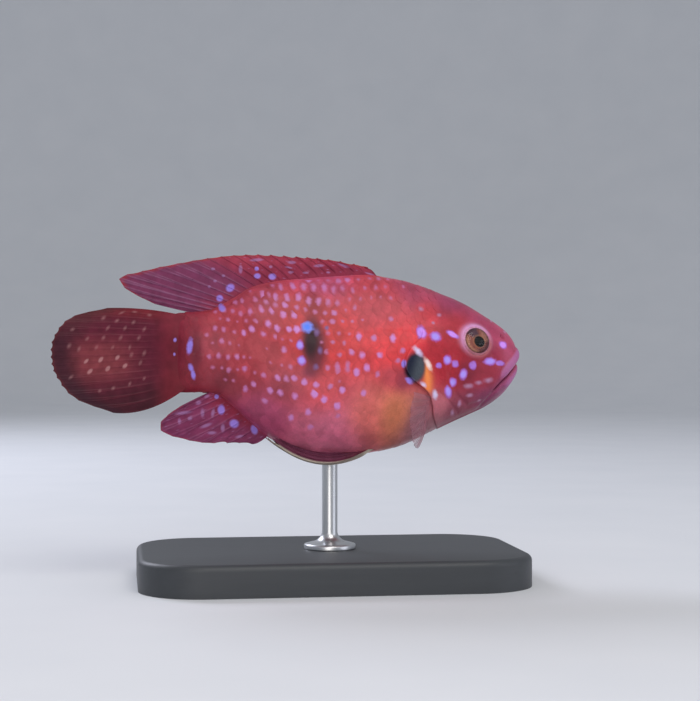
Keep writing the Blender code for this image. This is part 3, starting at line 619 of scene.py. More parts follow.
# %% [markdown]
# ## Wet skin
# Living fish skin is a clear, wet film over red pigment, so it has two layers of gloss: the skin,
# fairly dull, and a thin coat of mucus that gives a long, soft highlight. A little light goes into
# the flesh and comes back red. Pigment cells, about 0.1 mm, are too fine to show, so their grain
# is drawn at 0.22 mm. Clouds of pigment are 2.4 mm wide, and the edges of spots wander over
# 0.8 mm. The bare cheeks keep small sunken scales, 0.9 mm apart, that show only as a bump. The
# markings are painted in layers from one table, from the broad shades up to the bright spots.

# %% Skin material
# From the bottom layer up: the mask, whether pigment makes its edge ragged, the two mask values
# between which the paint comes in (None where the mask is a share already), and the colour
SKIN_PAINT = (
    ("lip", False, None, "#AE6696"), ("orange", False, None, "#F08A4A"),
    ("orbit", False, None, "#DAA0D0"), ("orbit_foot", False, None, "#A85A5C"),
    ("rim", False, None, "#A02C3A"), ("halo", False, None, "#641E30"),
    ("maroon", False, None, "#2A0A18"), ("black", False, None, "#131B32"),
    ("slate", False, None, "#454C55"), ("scale_fleck", True, (-0.3, 0.34), "#BE6C98"),
    ("faint_fleck", True, (-0.35, 1.0), "#B480A4"), ("dim_fleck", True, (-0.35, 0.9), "#7A5A90"),
    ("violet_fleck", True, (-0.3, 0.5), "#9C82E2"), ("azure_fleck", True, (-0.35, 0.35), "#7F8DF0"),
    ("azure_fleck", False, (0.1, 0.8), "#5486FC"), ("white_fleck", True, (-0.3, 0.8), "#D6C8EC"),
    ("cream_fleck", True, (-0.3, 0.7), "#F4DCD8"), ("fleck", True, (-0.3, 0.35), "#AA6ACC"),
    ("fleck", False, (0.05, 0.65), "#B096F6"), ("rosy_fleck", False, (0.0, 0.5), "#D090F4"),
    # Painted shade: the cleft colour darkens the groove between the lips
    ("cleft", False, None, "#4A1C2A"),
)
LARGE_SCALE_FLECK = "#D08AD0"

def skin_material(name, scaled):
    """Wet skin, read from the masks on its points. Scale plates add a fleck at each middle."""
    made, tree, shader = start_material(
        name, Roughness=0.42, IOR=1.34, Specular_IOR_Level=0.35,
        Coat_Weight=0.2, Coat_Roughness=0.16, Coat_IOR=1.34,
        Subsurface_Weight=0.12, Subsurface_Radius=(1.0, 0.3, 0.2), Subsurface_Scale=0.0006,
    )
    place = add_node(tree, "ShaderNodeTexCoord").outputs["Object"]
    mottle = add_node(tree, "ShaderNodeTexNoise", inputs={
        "Vector": place, "Scale": 1 / 0.0024, "Detail": 4.0, "Roughness": 0.6}).outputs["Fac"]
    grain = add_node(tree, "ShaderNodeTexNoise", inputs={
        "Vector": place, "Scale": 1 / 0.00022, "Detail": 2.0}).outputs["Fac"]
    wander = add_node(tree, "ShaderNodeTexNoise", inputs={
        "Vector": place, "Scale": 1 / 0.0008, "Detail": 3.0}).outputs["Fac"]
    wobble = add_node(tree, "ShaderNodeMath", {"operation": "MULTIPLY_ADD"},
                      {0: wander, 1: 0.8, 2: -0.4}).outputs[0]
    bright = add_node(tree, "ShaderNodeMapRange", inputs={
        "Value": mottle, "From Min": 0.25, "From Max": 0.75, "To Min": 0.78, "To Max": 1.2}).outputs[0]
    grainy = add_node(tree, "ShaderNodeMapRange", inputs={
        "Value": grain, "From Min": 0.3, "From Max": 0.7, "To Min": 0.93, "To Max": 1.07}).outputs[0]
    lightness = add_node(tree, "ShaderNodeMath", {"operation": "MULTIPLY"},
                         {0: bright, 1: grainy}).outputs[0]
    ground = add_node(tree, "ShaderNodeAttribute", {"attribute_name": "ground"}).outputs["Color"]
    paint = add_node(tree, "ShaderNodeVectorMath", {"operation": "SCALE"},
                     {0: ground, "Scale": lightness}).outputs[0]
    for key, is_ragged, edge, code in SKIN_PAINT:
        if key in ("rim", "scale_fleck") and not scaled:
            continue
        share = add_node(tree, "ShaderNodeAttribute", {"attribute_name": key}).outputs["Fac"]
        tint = colour(code)
        if key == "scale_fleck":
            # The mask holds the fleck's radius, and the distance from its middle is taken off it
            local = add_node(tree, "ShaderNodeUVMap", {"uv_map": "ScalePlace"}).outputs["UV"]
            away = add_node(tree, "ShaderNodeVectorMath", {"operation": "LENGTH"},
                            {0: local}).outputs["Value"]
            large = add_node(tree, "ShaderNodeMapRange", {"interpolation_type": "SMOOTHSTEP"},
                             {"Value": share, "From Min": 0.38, "From Max": 0.6}).outputs["Result"]
            tint = add_node(tree, "ShaderNodeMix", {"data_type": "RGBA"},
                            {0: large, 6: tint, 7: colour(LARGE_SCALE_FLECK)}).outputs[2]
            share = add_node(tree, "ShaderNodeMath", {"operation": "SUBTRACT"},
                             {0: share, 1: away}).outputs[0]
        if is_ragged:
            share = add_node(tree, "ShaderNodeMath", {"operation": "ADD"},
                             {0: share, 1: wobble}).outputs[0]
        if edge:
            share = add_node(tree, "ShaderNodeMapRange", {"interpolation_type": "SMOOTHSTEP"}, {
                "Value": share, "From Min": edge[0], "From Max": edge[1]}).outputs["Result"]
        paint = add_node(tree, "ShaderNodeMix", {"data_type": "RGBA"},
                         {0: share, 6: paint, 7: tint}).outputs[2]
    tree.links.new(paint, shader.inputs["Base Color"])
    small_scales = add_node(tree, "ShaderNodeTexVoronoi", {"feature": "DISTANCE_TO_EDGE"}, {
        "Vector": place, "Scale": 1 / 0.0009}).outputs["Distance"]
    shallow = add_node(tree, "ShaderNodeMapRange", inputs={
        "Value": small_scales, "From Min": 0.0, "From Max": 0.25}).outputs[0]
    height = add_node(tree, "ShaderNodeMath", {"operation": "MULTIPLY_ADD"},
                      {0: grain, 1: 0.5, 2: shallow}).outputs[0]
    relief = add_node(tree, "ShaderNodeBump", inputs={
        "Strength": 0.12 if scaled else 0.3, "Distance": 0.00006, "Height": grain if scaled else height})
    tree.links.new(relief.outputs[0], shader.inputs["Normal"])
    return made


wet_skin = skin_material("wet_fish_skin", scaled=False)
print("layers of paint on the skin:", len(SKIN_PAINT))


# %% Pieces from points
def make_piece(name, points, faces, material, uvs=None, masks=None, swung=True):
    """A smooth mesh from straight-fish millimetres, with its masks and UV maps."""
    mesh = bpy.data.meshes.new(name)
    placed = to_row(points, swung)
    mesh.from_pydata(placed.tolist(), [], faces)
    for key, values in (uvs or {}).items():
        layer = mesh.uv_layers.new(name=key)
        layer.data.foreach_set("uv", np.asarray(values, np.float32).ravel())
    for key, values in (masks or {}).items():
        values = np.asarray(values, np.float32)
        if values.ndim == 2:
            values = np.hstack([values, np.ones((len(values), 1), np.float32)])
            mesh.attributes.new(key, "FLOAT_COLOR", "POINT").data.foreach_set("color", values.ravel())
        else:
            mesh.attributes.new(key, "FLOAT", "POINT").data.foreach_set("value", values)
    mesh.shade_smooth()
    mesh.materials.append(material)
    made = bpy.data.objects.new(name, mesh)
    bpy.context.scene.collection.objects.link(made)
    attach(made, "root")
    print(name + ":", len(points), "points,", sum(len(f) - 2 for f in faces), "triangles")
    return made


skin = make_piece("skin", skin_vertices, faces, wet_skin, {"OFBake": uv},
                  {"ground": ground_colour(skin_plain), **markings(skin_plain)})
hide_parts("head", "jaw_lower", "gill_cover_left", "gill_cover_right", "trunk", "tail_stalk")

# %% [markdown]
# ## Scales
# Each scale is a thin, rounded plate, rooted under the ones ahead of it and lifted a little at its
# free rear edge, so that the rows overlap like roof tiles. Rows run along the body, 2.4 mm apart,
# and every other row is set back by half a scale. The plates are evaluated on the body's chart,
# so they bend with the flank. A table that turns a distance down the flank into an angle of the
# chart keeps the rows even while the body changes its depth. Most scales carry one pale fleck:
# those that catch the eye are named in a table, and the rest are drawn at random from a seed.

# %% Rows over the flank
PITCH, ROW_HEIGHT = 1.95, 2.4
FIRST_X, FIRST_ARC = 30.45, 0.6
LENGTH_PITCHES, HALF_WIDTH_ROWS = 1.75, 0.74
KEYS, ARCS, ARC_REACH = 500, 541, 27
KEY_STEPS = np.linspace(0, BODY_END, KEYS)
ARC_STEPS = np.linspace(-ARC_REACH, ARC_REACH, ARCS)
fan = np.linspace(-1.3, math.pi + 1.3, 400)
ANGLE_TABLE = np.empty((KEYS, ARCS))
for row, key in enumerate(KEY_STEPS):
    ring = section(np.full(len(fan), key), fan)
    arc = np.concatenate([[0], np.cumsum(np.linalg.norm(np.diff(ring, axis=0), axis=1))])
    ANGLE_TABLE[row] = np.interp(ARC_STEPS, arc - np.interp(math.pi / 2, fan, arc), fan)


def angle_at(along, arc):
    """The chart's angle a distance in mm below the middle of the flank."""
    i = np.clip(along / BODY_END * (KEYS - 1), 0, KEYS - 1.001)
    j = np.clip((arc + ARC_REACH) / (2 * ARC_REACH) * (ARCS - 1), 0, ARCS - 1.001)
    low_i, low_j = i.astype(int), j.astype(int)
    f, g = i - low_i, j - low_j
    near = ANGLE_TABLE[low_i, low_j] * (1 - g) + ANGLE_TABLE[low_i, low_j + 1] * g
    far = ANGLE_TABLE[low_i + 1, low_j] * (1 - g) + ANGLE_TABLE[low_i + 1, low_j + 1] * g
    return near * (1 - f) + far * f


def scale_size(x):
    """Share of the full scale size: smaller on the nape and chest and on the tail stalk."""
    return 1 - 0.18 * ramp(x, 17, 27) - 0.14 * ramp(-x, 7, 16)


centres = []
key, column = float(along_at(FIRST_X)), 0
while key < BODY_END - 0.6:
    x = float(np.interp(key, FINE_KEYS, FINE_TABLE[:, 0]))
    size = float(scale_size(x))
    for row in range(-10, 11):
        if (row + column) % 2 == 0:
            arc = (row * ROW_HEIGHT + FIRST_ARC) * (1 - 0.1 * ramp(-x, 7, 16))
            turn = float(angle_at(np.array(key), np.array(arc)))
            if -0.02 < turn < math.pi + 0.02:
                centres.append((key, arc, size, row))
    key += PITCH * size / 2
    column += 1
centres = np.array(centres)
middle = section(centres[:, 0], angle_at(centres[:, 0], centres[:, 1]))
behind_gill = gill_edge_x(middle[:, 2]) - middle[:, 0] > -0.5
on_nape = (middle[:, 2] > 6.0) & (middle[:, 0] < 30.5)
on_ridge = (np.abs(middle[:, 1]) < 0.9) & (middle[:, 2] > 0)
under_dorsal = on_ridge & (middle[:, 0] < 17.5) & (middle[:, 0] > -13)
keep = (behind_gill | on_nape) & ~under_dorsal & (middle[:, 0] > -19.3)
centres, middle = centres[keep], middle[keep]
print("scales on each side:", len(centres))

# %% Flecks on scales
# x and z on the flank, then radius in mm and how much taller than long
FLANK_FLECKS = (
    (-1.8, 12.5, 0.55, 1.5), (0.6, 12.8, 0.6, 1.6), (2.6, 12.6, 0.6, 1.6), (4.5, 12.4, 0.6, 1.6),
    (6.6, 12.6, 0.6, 1.5), (8.3, 12.0, 0.55, 1.4), (10.1, 12.2, 0.5, 1.4), (12.0, 11.9, 0.45, 1.3),
    (-5.0, 10.8, 0.6, 1.3), (-3.0, 10.3, 0.6, 1.3), (-0.7, 10.4, 0.6, 1.3), (1.5, 10.5, 0.62, 1.3),
    (3.4, 9.8, 0.6, 1.3), (5.3, 9.7, 0.6, 1.2), (7.1, 9.5, 0.55, 1.2), (8.8, 9.3, 0.5, 1.2),
    (12.1, 8.5, 0.45, 1.0), (-9.3, 9.8, 0.5, 1.0), (-7.8, 7.7, 0.55, 1.1), (-9.6, 7.2, 0.5, 1.0),
    (-5.7, 8.2, 0.6, 1.1), (-3.7, 7.8, 0.6, 1.1), (-1.6, 7.1, 0.6, 1.1), (0.5, 7.1, 0.6, 1.1),
    (-14.4, 4.5, 0.5, 0.9), (-12.8, 4.2, 0.5, 0.9), (-13.2, 2.1, 0.5, 0.9), (-9.1, 3.6, 0.6, 0.9),
    (-7.6, 4.5, 0.6, 1.0), (-4.5, 5.4, 0.6, 1.0), (-5.4, 3.4, 0.55, 0.9), (-2.8, 4.5, 0.6, 1.0),
    (-3.2, 2.9, 0.5, 0.9), (-0.6, 4.3, 0.62, 0.9), (0.9, 4.3, 0.72, 0.9), (-13.8, -0.6, 0.5, 0.9),
    (-12.0, -0.9, 0.5, 0.9), (-10.4, -0.9, 0.55, 0.9), (-11.9, -3.3, 0.5, 0.9), (-9.0, -3.2, 0.55, 0.9),
    (-5.5, -4.3, 0.5, 0.9), (-1.7, 0.5, 0.55, 1.0), (6.3, 0.0, 0.45, 1.0), (-2.9, -4.8, 0.55, 0.9),
    (-1.3, -5.0, 0.5, 0.9), (0.2, -4.9, 0.55, 0.9),
    (1.8, -5.6, 0.55, 0.9), (3.6, -6.2, 0.55, 0.9), (4.0, -7.8, 0.65, 1.0), (6.6, -2.9, 0.5, 0.9),
    (8.3, -3.0, 0.52, 1.8), (10.2, -2.6, 0.5, 1.9), (11.9, -3.9, 0.62, 1.1), (13.9, -3.0, 0.64, 1.0),
    (15.9, -4.2, 0.5, 0.9), (-8.8, -6.9, 0.5, 0.9), (-7.0, -6.1, 0.5, 0.9), (-4.3, -7.2, 0.5, 0.9),
    (-5.3, -9.1, 0.45, 0.9), (-2.4, -7.6, 0.5, 0.9), (0.6, -8.3, 0.5, 0.9), (6.9, -6.4, 0.45, 0.9),
    (9.1, -7.1, 0.55, 0.9), (13.2, -7.7, 0.5, 0.9), (5.7, -9.2, 0.6, 1.0), (7.8, -10.1, 0.55, 1.0),
    (2.8, -11.3, 0.5, 1.0), (-0.3, -12.4, 0.5, 1.0), (3.4, -14.1, 0.45, 1.0), (8.4, -12.0, 0.4, 1.0),
    (20.9, 0.2, 0.55, 0.9), (19.9, -1.3, 0.5, 0.9), (16.4, -0.6, 0.6, 1.0), (13.0, -0.6, 0.62, 1.0),
    (15.4, 2.7, 0.55, 1.1), (19.1, 2.7, 0.65, 1.2), (12.6, 3.0, 0.62, 1.1), (11.1, 0.0, 0.58, 1.0),
    (18.9, 6.3, 0.5, 1.0), (-16.0, 3.3, 0.4, 0.9), (-15.6, -0.9, 0.45, 0.9),
)


def fleck_base(x, z):
    """Radius in mm of the flecks of unnamed scales: even on the upper flank, gone on the belly."""
    upper = 0.36 * ramp(z, -9, -2) + 0.14 * ramp(z, 3, 9)
    ahead = 1 - 0.65 * ramp(x, 8, 14) * (1 - ramp(z, 9, 12))
    quiet = 1 - 0.6 * bump(np.hypot((x + 6) / 6, (z - 0.5) / 2.2), 1.0)
    return upper * ahead * quiet * (1 - 0.7 * ramp(x, 14, 24)) * ramp(x, -17, -14.5)


def flank_keys(x, z):
    """Chart distance along, and distance in mm below the middle of the flank, of places on it."""
    key = along_at(x)
    rows = np.clip(key / BODY_END * (KEYS - 1), 0, KEYS - 1).astype(int)
    return np.array([(k, np.interp(turn, ANGLE_TABLE[row], ARC_STEPS))
                     for k, turn, row in zip(key, flank_turn(x, z), rows)])


# Each named fleck is given to the nearest free scale, and the rows bend a little towards the flecks
named = np.array(FLANK_FLECKS)
named[:, 2] += 0.1 * ramp(-named[:, 1], 3, 8) - 0.05 * ramp(named[:, 1], 6, 10)
named[:, 3] *= 1 + 0.15 * ramp(named[:, 1], 6, 10)
named_keys = flank_keys(named[:, 0], named[:, 1])
owner = np.full(len(named), -1)
for n, place in enumerate(named_keys):
    away = np.hypot(*(centres[:, :2] - place).T) + 9.0 * np.isin(np.arange(len(centres)), owner)
    owner[n] = np.argmin(away) if away.min() < 2.2 else -1
given = owner >= 0
miss = np.clip(named_keys[given] - centres[owner[given], :2], (-0.55, -0.8), (0.55, 0.8))
near = np.exp(-((centres[:, None, :2] - named_keys[None, given]) ** 2).sum(-1) / (2 * 1.3**2))
centres[:, :2] += (near @ miss) / (near.sum(1) + 0.25)[:, None]
middle = section(centres[:, 0], angle_at(centres[:, 0], centres[:, 1]))
print("named flecks on scales:", int(given.sum()), "of", len(named))


def dress_scales(seed):
    """Fleck radius, tallness and offsets in mm of each scale: the named flecks, then the rest."""
    random = np.random.default_rng(seed)
    radius = fleck_base(middle[:, 0], middle[:, 2]) * random.uniform(0.4, 1.15, len(centres))
    marked = np.maximum(ovals(middle, (FLANK_BLOTCH,)),
                        ovals(middle, np.array(AZURE_FLECKS + BLOTCH_FLECKS) * (1, 1, 2, 2, 1)))
    radius[(radius < 0.16) | (marked > 0.05)] = -1.0
    tall = 1.0 + 0.45 * ramp(middle[:, 2], 6, 11)
    shift = random.uniform(-0.15, 0.15, (len(centres), 2))
    for n in np.flatnonzero(given):
        size, stretch = named[n, 2:] * (0.86, 1.2)
        limit = np.maximum((0.85 - size, 1.15 - size * stretch), 0.1)
        radius[owner[n]], tall[owner[n]] = size, stretch
        shift[owner[n]] = np.clip(named_keys[n] - centres[owner[n], :2], -limit, limit)
    return radius, tall, shift


# %% [markdown]
# A plate is a small grid with a rounded rear edge. Its rim is copied 0.05 mm lower and closed
# underneath, so that every plate is a solid and its edge casts a fine shadow.
# For the baked maps each plate gets its own patch, placed at its root's spot on the unwrapped body.

# %% Scale plates
ALONG_CELLS, ACROSS_CELLS = 11, 10
PLATE = 0.05
BAKE_PATCH = 0.02


def rim_loop():
    """Grid corners round the plate's rim, in order."""
    last_f, last_b = ALONG_CELLS, ACROSS_CELLS
    loop = [(0, b) for b in range(last_b)] + [(f, last_b) for f in range(last_f)]
    return loop + [(last_f, b) for b in range(last_b, 0, -1)] + [(f, 0) for f in range(last_f, 0, -1)]


def make_scales(name, side, seed):
    radius, tall, shift = dress_scales(seed)
    random = np.random.default_rng(seed + 100)
    f, b = np.meshgrid(np.linspace(0, 1, ALONG_CELLS + 1), np.linspace(-1, 1, ACROSS_CELLS + 1),
                       indexing="ij")
    width = 0.78 + 0.22 * np.sin(math.pi / 2 * np.minimum(f / 0.6, 1))
    rear, front = 1 - 0.34 * np.abs(b) ** 2.3, 0.12 * b**2
    cells = (ALONG_CELLS + 1) * (ACROSS_CELLS + 1)
    loop = [i * (ACROSS_CELLS + 1) + j for i, j in rim_loop()]
    rim_count = len(loop)
    corners = np.arange(cells).reshape(ALONG_CELLS + 1, -1)
    plate_faces = [(corners[i, j], corners[i + 1, j], corners[i + 1, j + 1], corners[i, j + 1])
                   for i in range(ALONG_CELLS) for j in range(ACROSS_CELLS)]
    for k in range(rim_count):
        n = (k + 1) % rim_count
        plate_faces.append((loop[k], loop[n], cells + n, cells + k))
        plate_faces.append((cells + k, cells + n, cells + rim_count))
    if side < 0:
        plate_faces = [tuple(reversed(face)) for face in plate_faces]
    per_plate = cells + rim_count + 1
    size, pitch = centres[:, 2, None, None], PITCH * centres[:, 2, None, None]
    length = LENGTH_PITCHES * pitch
    u = (front + (rear - front) * f) * length - (length - 0.5 * pitch)
    v = b * width * HALF_WIDTH_ROWS * ROW_HEIGHT * size
    key, arc = centres[:, 0, None, None] + u, centres[:, 1, None, None] + v
    key = np.clip(key, 0.5, BODY_END)
    plain, normal = surface(key, angle_at(key, arc))
    tilt = random.uniform(-0.015, 0.015, (len(centres), 1, 1))
    height = -0.15 + 0.135 * f - 0.04 * b**2 + 0.03 * np.sin(math.pi * f) + tilt * f
    height -= 0.1 * ramp(plain[..., 0], 24, 30.5)
    pores = np.isin(centres[:, 3], (-3,)) & (middle[:, 0] > -6) | (centres[:, 3] == 0) & (middle[:, 0] < -5)
    height += pores[:, None, None] * 0.07 * bump(v, 0.22) * ramp(f, 0.3, 0.5) * (1 - ramp(f, 0.85, 0.95))
    height -= 0.02 * (side < 0) * bump(plain[..., 1], 1.0)
    top = (plain + normal * height[..., None]).reshape(len(centres), cells, 3)
    under = top[:, loop] - normal.reshape(len(centres), cells, 3)[:, loop] * PLATE
    floor_points = under.mean(1, keepdims=True)
    points = np.concatenate([top, under, floor_points], axis=1)

    def spread(values):
        """Values of the grid's points, copied to the rim and underside points."""
        values = np.broadcast_to(values, (len(centres), ALONG_CELLS + 1, ACROSS_CELLS + 1))
        values = values.reshape(len(centres), cells)
        return np.concatenate([values, values[:, loop], values[:, loop[0], None]], axis=1).ravel()

    bases = np.concatenate([plain.reshape(len(centres), cells, 3), under, floor_points], axis=1)
    bases = bases.reshape(-1, 3)
    place_u = spread(u - shift[:, 0, None, None])
    place_v = spread((v - shift[:, 1, None, None]) / tall[:, None, None])
    patch_u = spread(centres[:, 0, None, None] / BODY_END * 0.94 + 0.02 + BAKE_PATCH * (f - 0.5) * 1.1)
    turn = angle_at(centres[:, 0], centres[:, 1])
    patch_v = spread(turn[:, None, None] / math.pi * 0.92 + 0.04 + BAKE_PATCH * 1.2 * b)
    rim = spread(0.22 * ramp(f, 0.7, 1.0) * (1 - ramp(plain[..., 0], 18, 26)) * ramp(plain[..., 2], -9, -4))
    faces = [tuple(int(v) + start for v in face)
             for start in range(0, len(centres) * per_plate, per_plate) for face in plate_faces]
    corner_index = np.array([v for face in faces for v in face])
    shade = 1 + 0.1 * spread(random.uniform(-1, 1, (len(centres), 1, 1)))
    marks = {**markings(bases), "rim": rim, "scale_fleck": spread(radius[:, None, None]),
             "ground": ground_colour(bases) * shade[:, None]}
    uvs = {"OFBake": np.stack([patch_u, patch_v], axis=1)[corner_index],
           "ScalePlace": np.stack([place_u, place_v], axis=1)[corner_index]}
    made = make_piece(name, points.reshape(-1, 3) * (1, side, 1), faces, scaled_skin, uvs, marks)
    made.data.set_sharp_from_angle(angle=math.radians(45))
    return made


scaled_skin = skin_material("wet_scaled_skin", scaled=True)
make_scales("scales_left", 1, 5)
make_scales("scales_right", -1, 11)

# %% [markdown]
# ## Eyes
# A fish's eye is a flattened ball with a bulging clear cornea over a metallic iris and a black
# pupil, which is the front of a round lens. The ball and iris are one turned shape. The cornea is
# a closed lens of its own over them: at each place it mixes a clear shader with a mirror by the
# Fresnel law of water-like tissue, IOR 1.376, so it shows highlights but hides nothing.

# %% Iris and cornea materials
# Pigment over a silvery layer: dull and slightly metallic, with about 42 fibres round the pupil,
# drawn several times as wide as real ones so that they show
iris_skin, tree, shader = start_material("iris_pigment", Roughness=0.5, IOR=1.38, Metallic=0.15)
paint = add_node(tree, "ShaderNodeAttribute", {"attribute_name": "ground"}).outputs["Color"]
around = add_node(tree, "ShaderNodeUVMap", {"uv_map": "EyePlace"}).outputs["UV"]
drawn_out = add_node(tree, "ShaderNodeMapping", inputs={
    "Vector": around, "Scale": (14.0, 1.6, 1.0)}).outputs[0]
fibres = add_node(tree, "ShaderNodeTexNoise", inputs={
    "Vector": drawn_out, "Scale": 3.0, "Detail": 5.0, "Roughness": 0.6}).outputs["Fac"]
shade = add_node(tree, "ShaderNodeMapRange", inputs={
    "Value": fibres, "From Min": 0.3, "From Max": 0.7, "To Min": 0.72, "To Max": 1.25}).outputs[0]
paint = add_node(tree, "ShaderNodeVectorMath", {"operation": "SCALE"}, {0: paint, "Scale": shade}).outputs[0]
tree.links.new(paint, shader.inputs["Base Color"])

# Clear, wet tissue, of which only the highlight is seen
cornea_clear = bpy.data.materials.new("cornea_tissue")
cornea_clear.use_nodes = True
tree = cornea_clear.node_tree
tree.nodes.clear()
fresnel = add_node(tree, "ShaderNodeFresnel", inputs={"IOR": 1.376}).outputs[0]
clear = add_node(tree, "ShaderNodeBsdfTransparent").outputs[0]
mirror = add_node(tree, "ShaderNodeBsdfGlossy", inputs={
    "Color": colour("#A8A8A8"), "Roughness": 0.06}).outputs[0]
mixed = add_node(tree, "ShaderNodeMixShader", inputs={0: fresnel, 1: clear, 2: mirror}).outputs[0]
add_node(tree, "ShaderNodeOutputMaterial", inputs={"Surface": mixed})
print("eye materials:", iris_skin.name, cornea_clear.name)

# %% Eyeballs
PUPIL = 1.075
EYE_SPOKES = 96
GLOBE = (
    (0.35, 0.6), (0.7, 0.57), (0.95, 0.52), (1.04, 0.48), (PUPIL, 0.46), (1.12, 0.5), (1.25, 0.5),
    (1.5, 0.46), (1.75, 0.43), (2.0, 0.41), (2.2, 0.39), (2.35, 0.39), (2.48, 0.41), (2.6, 0.38),
    (2.72, 0.3), (2.88, 0.16), (3.02, -0.05), (3.14, -0.4), (3.05, -1.0), (2.4, -1.6), (1.3, -2.0),
)
CORNEA_EDGE, CORNEA_FOOT, CORNEA_TOP = 2.56, 0.3, 1.12


def close_rings(rings, first, last, flip):
    """Vertices and faces of equal rings of points, closed by a point at either end."""
    count, around, _ = rings.shape
    faces, end = [], (count - 1) * around
    for j in range(around):
        k = (j + 1) % around
        faces += [(count * around, j, k), (end + j, count * around + 1, end + k)]
        faces += [(i + j, i + around + j, i + around + k, i + k) for i in range(0, end, around)]
    faces = [face[::-1] for face in faces] if flip else faces
    return np.concatenate([rings.reshape(-1, 3), [first, last]]), faces

def eye_paint(radius, turn):
    """Iris colours by distance from the eye's middle and the turn from forward, up positive."""
    def sector(middle, width):
        away = np.abs((turn - math.radians(middle) + math.pi) % (2 * math.pi) - math.pi)
        return 1 - ramp(away, 0.5 * math.radians(width), math.radians(width))

    tint = np.array(colour("#925048")[:3]) * np.ones((*radius.shape, 1))
    for code, share in (
        ("#D2967A", 0.85 * sector(225, 80) * ramp(radius, 1.6, 2.2)),
        ("#6A3238", 0.85 * sector(-40, 70)), ("#B07A66", 0.7 * sector(35, 45)),
        ("#563C4C", 0.95 * sector(118, 40) * ramp(radius, 0.9, 1.1)),
        ("#C08A5C", 0.5 * bump(radius - 1.2, 0.08)),
        ("#5A3A44", 0.6 * bump(radius - 2.42, 0.09)),
        ("#050507", 1 - ramp(radius, PUPIL - 0.02, PUPIL + 0.06)),
        ("#D295B6", ramp(radius, 2.44, 2.6)),
        ("#A05A5E", 0.8 * ramp(radius, 2.44, 2.6) * sector(-65, 120)),
    ):
        tint = tint + (np.array(colour(code)[:3]) - tint) * share[..., None]
    return tint


def make_eye(side):
    centre, normal = EYE_POINT * (1, side, 1), EYE_NORMAL * (1, side, 1)
    forward = np.array((1.0, 0, 0)) - normal * normal[0]
    forward /= np.linalg.norm(forward)
    up = np.array((0, 0, 1.0)) - normal * normal[2] - forward * forward[2]
    up /= np.linalg.norm(up)
    turn = np.arange(EYE_SPOKES) * 2 * math.pi / EYE_SPOKES

    def turned(profile, shift):
        """Rings of points round the eye's axis; the pupil's rings are shifted forward and down."""
        rings = []
        for radius, height in profile:
            ahead = shift * (1 - ramp(np.float64(radius), 0.9, 2.5))
            ring = (np.outer(radius * np.cos(turn) + ahead, forward)
                    + np.outer(radius * np.sin(turn) - ahead / 2, up))
            rings.append(centre + normal * height + ring)
        return np.array(rings)

    word = "left" if side > 0 else "right"
    first, last = centre + normal * 0.61 + forward * 0.45 - up * 0.225, centre - normal * 2.1
    vertices, faces = close_rings(turned(GLOBE, 0.45), first, last, side > 0)
    radius = np.concatenate([np.repeat([r for r, _ in GLOBE], EYE_SPOKES), [0, 0]])
    turns = np.concatenate([np.tile(turn, len(GLOBE)), [0, 0]])
    corner_index = np.array([v for face in faces for v in face])
    place = np.stack([turns / (2 * math.pi), radius / 3.2], axis=1)[corner_index]
    flat = vertices - centre
    bake = np.stack([0.5 + (flat @ forward) / 7, 0.5 + (flat @ up) / 7], axis=1)[corner_index]
    globe = make_piece("eyeball_" + word, vertices, faces, iris_skin,
                       {"OFBake": bake, "EyePlace": place}, {"ground": eye_paint(radius, turns)})
    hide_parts("eye_" + word)
    dome = [(CORNEA_EDGE * math.sin(a), CORNEA_FOOT + (CORNEA_TOP - CORNEA_FOOT) * math.cos(a))
            for a in np.arange(1, 15) / 14 * math.pi / 2]
    rings = turned(dome + [(2.2, 0.1), (1.2, 0.1)], 0.0)
    first, last = centre + normal * CORNEA_TOP, centre + normal * 0.1
    vertices, faces = close_rings(rings, first, last, side > 0)
    make_piece("cornea_" + word, vertices, faces, cornea_clear)


make_eye(1)
make_eye(-1)

# %% [markdown]
# ## Fins
# A fin is a thin membrane stretched over bony rays. The front of the dorsal and anal fins has stiff
# pointed spines, and behind them come soft rays, which split in two and in two again towards their
# tips. The same rays as in the solids are used here, at far more places: between two rays the
# membrane is scalloped at its edge, folded a little like a fan, and each ray stands up as a ridge.

# %% Ray tables
DORSAL_KEYS = np.array([
    (0, 17.6, 15.2, 16.3), (3, 12.6, 7.6, 17.9), (6, 7.2, 1.4, 18.5), (9, 1.8, -6.0, 18.8),
    (12, -3.0, -13.0, 18.3), (15, -7.4, -21.4, 16.9), (17, -9.6, -28.0, 15.4),
    (19, -11.2, -32.4, 13.8), (20, -12.0, -31.4, 12.2), (22, -13.6, -25.6, 9.2),
])
CAUDAL_KEYS = np.array([
    (0, 6.9, -34.6, 8.3), (2, 5.6, -40.6, 6.8), (5, 3.0, -44.3, 3.2), (8, 0.0, -45.0, -0.9),
    (11, -2.8, -43.9, -4.8), (14, -5.4, -39.9, -9.0), (16, -7.0, -33.5, -11.4),
])
ANAL_KEYS = np.array([
    (0, -3.6, -7.2, -17.4), (2, -5.6, -12.0, -17.4), (5, -8.6, -19.2, -16.8),
    (7, -10.6, -24.6, -14.8), (8, -11.6, -24.6, -13.2), (10, -13.4, -20.6, -10.2),
])
DORSAL_LEAN, CAUDAL_WAVE, ANAL_LEAN, ROOT_SINK = 1.7, 0.5, -1.9, 2.0
PECTORAL_ROOT = ((25.8, -8.8), (25.0, -12.2))
PECTORAL_LENGTH = 13.5
PECTORAL_SPLAY, PECTORAL_RISE, PECTORAL_DROP = (math.radians(v) for v in (64, 8, -56))
PELVIC_SPINE = ((17.2, 3.9, -17.4), (-4.4, 4.2, -16.4), -4.5)
PELVIC_INNER = ((15.6, 2.6, -18.2), (-1.0, 3.0, -16.6), -1.2)


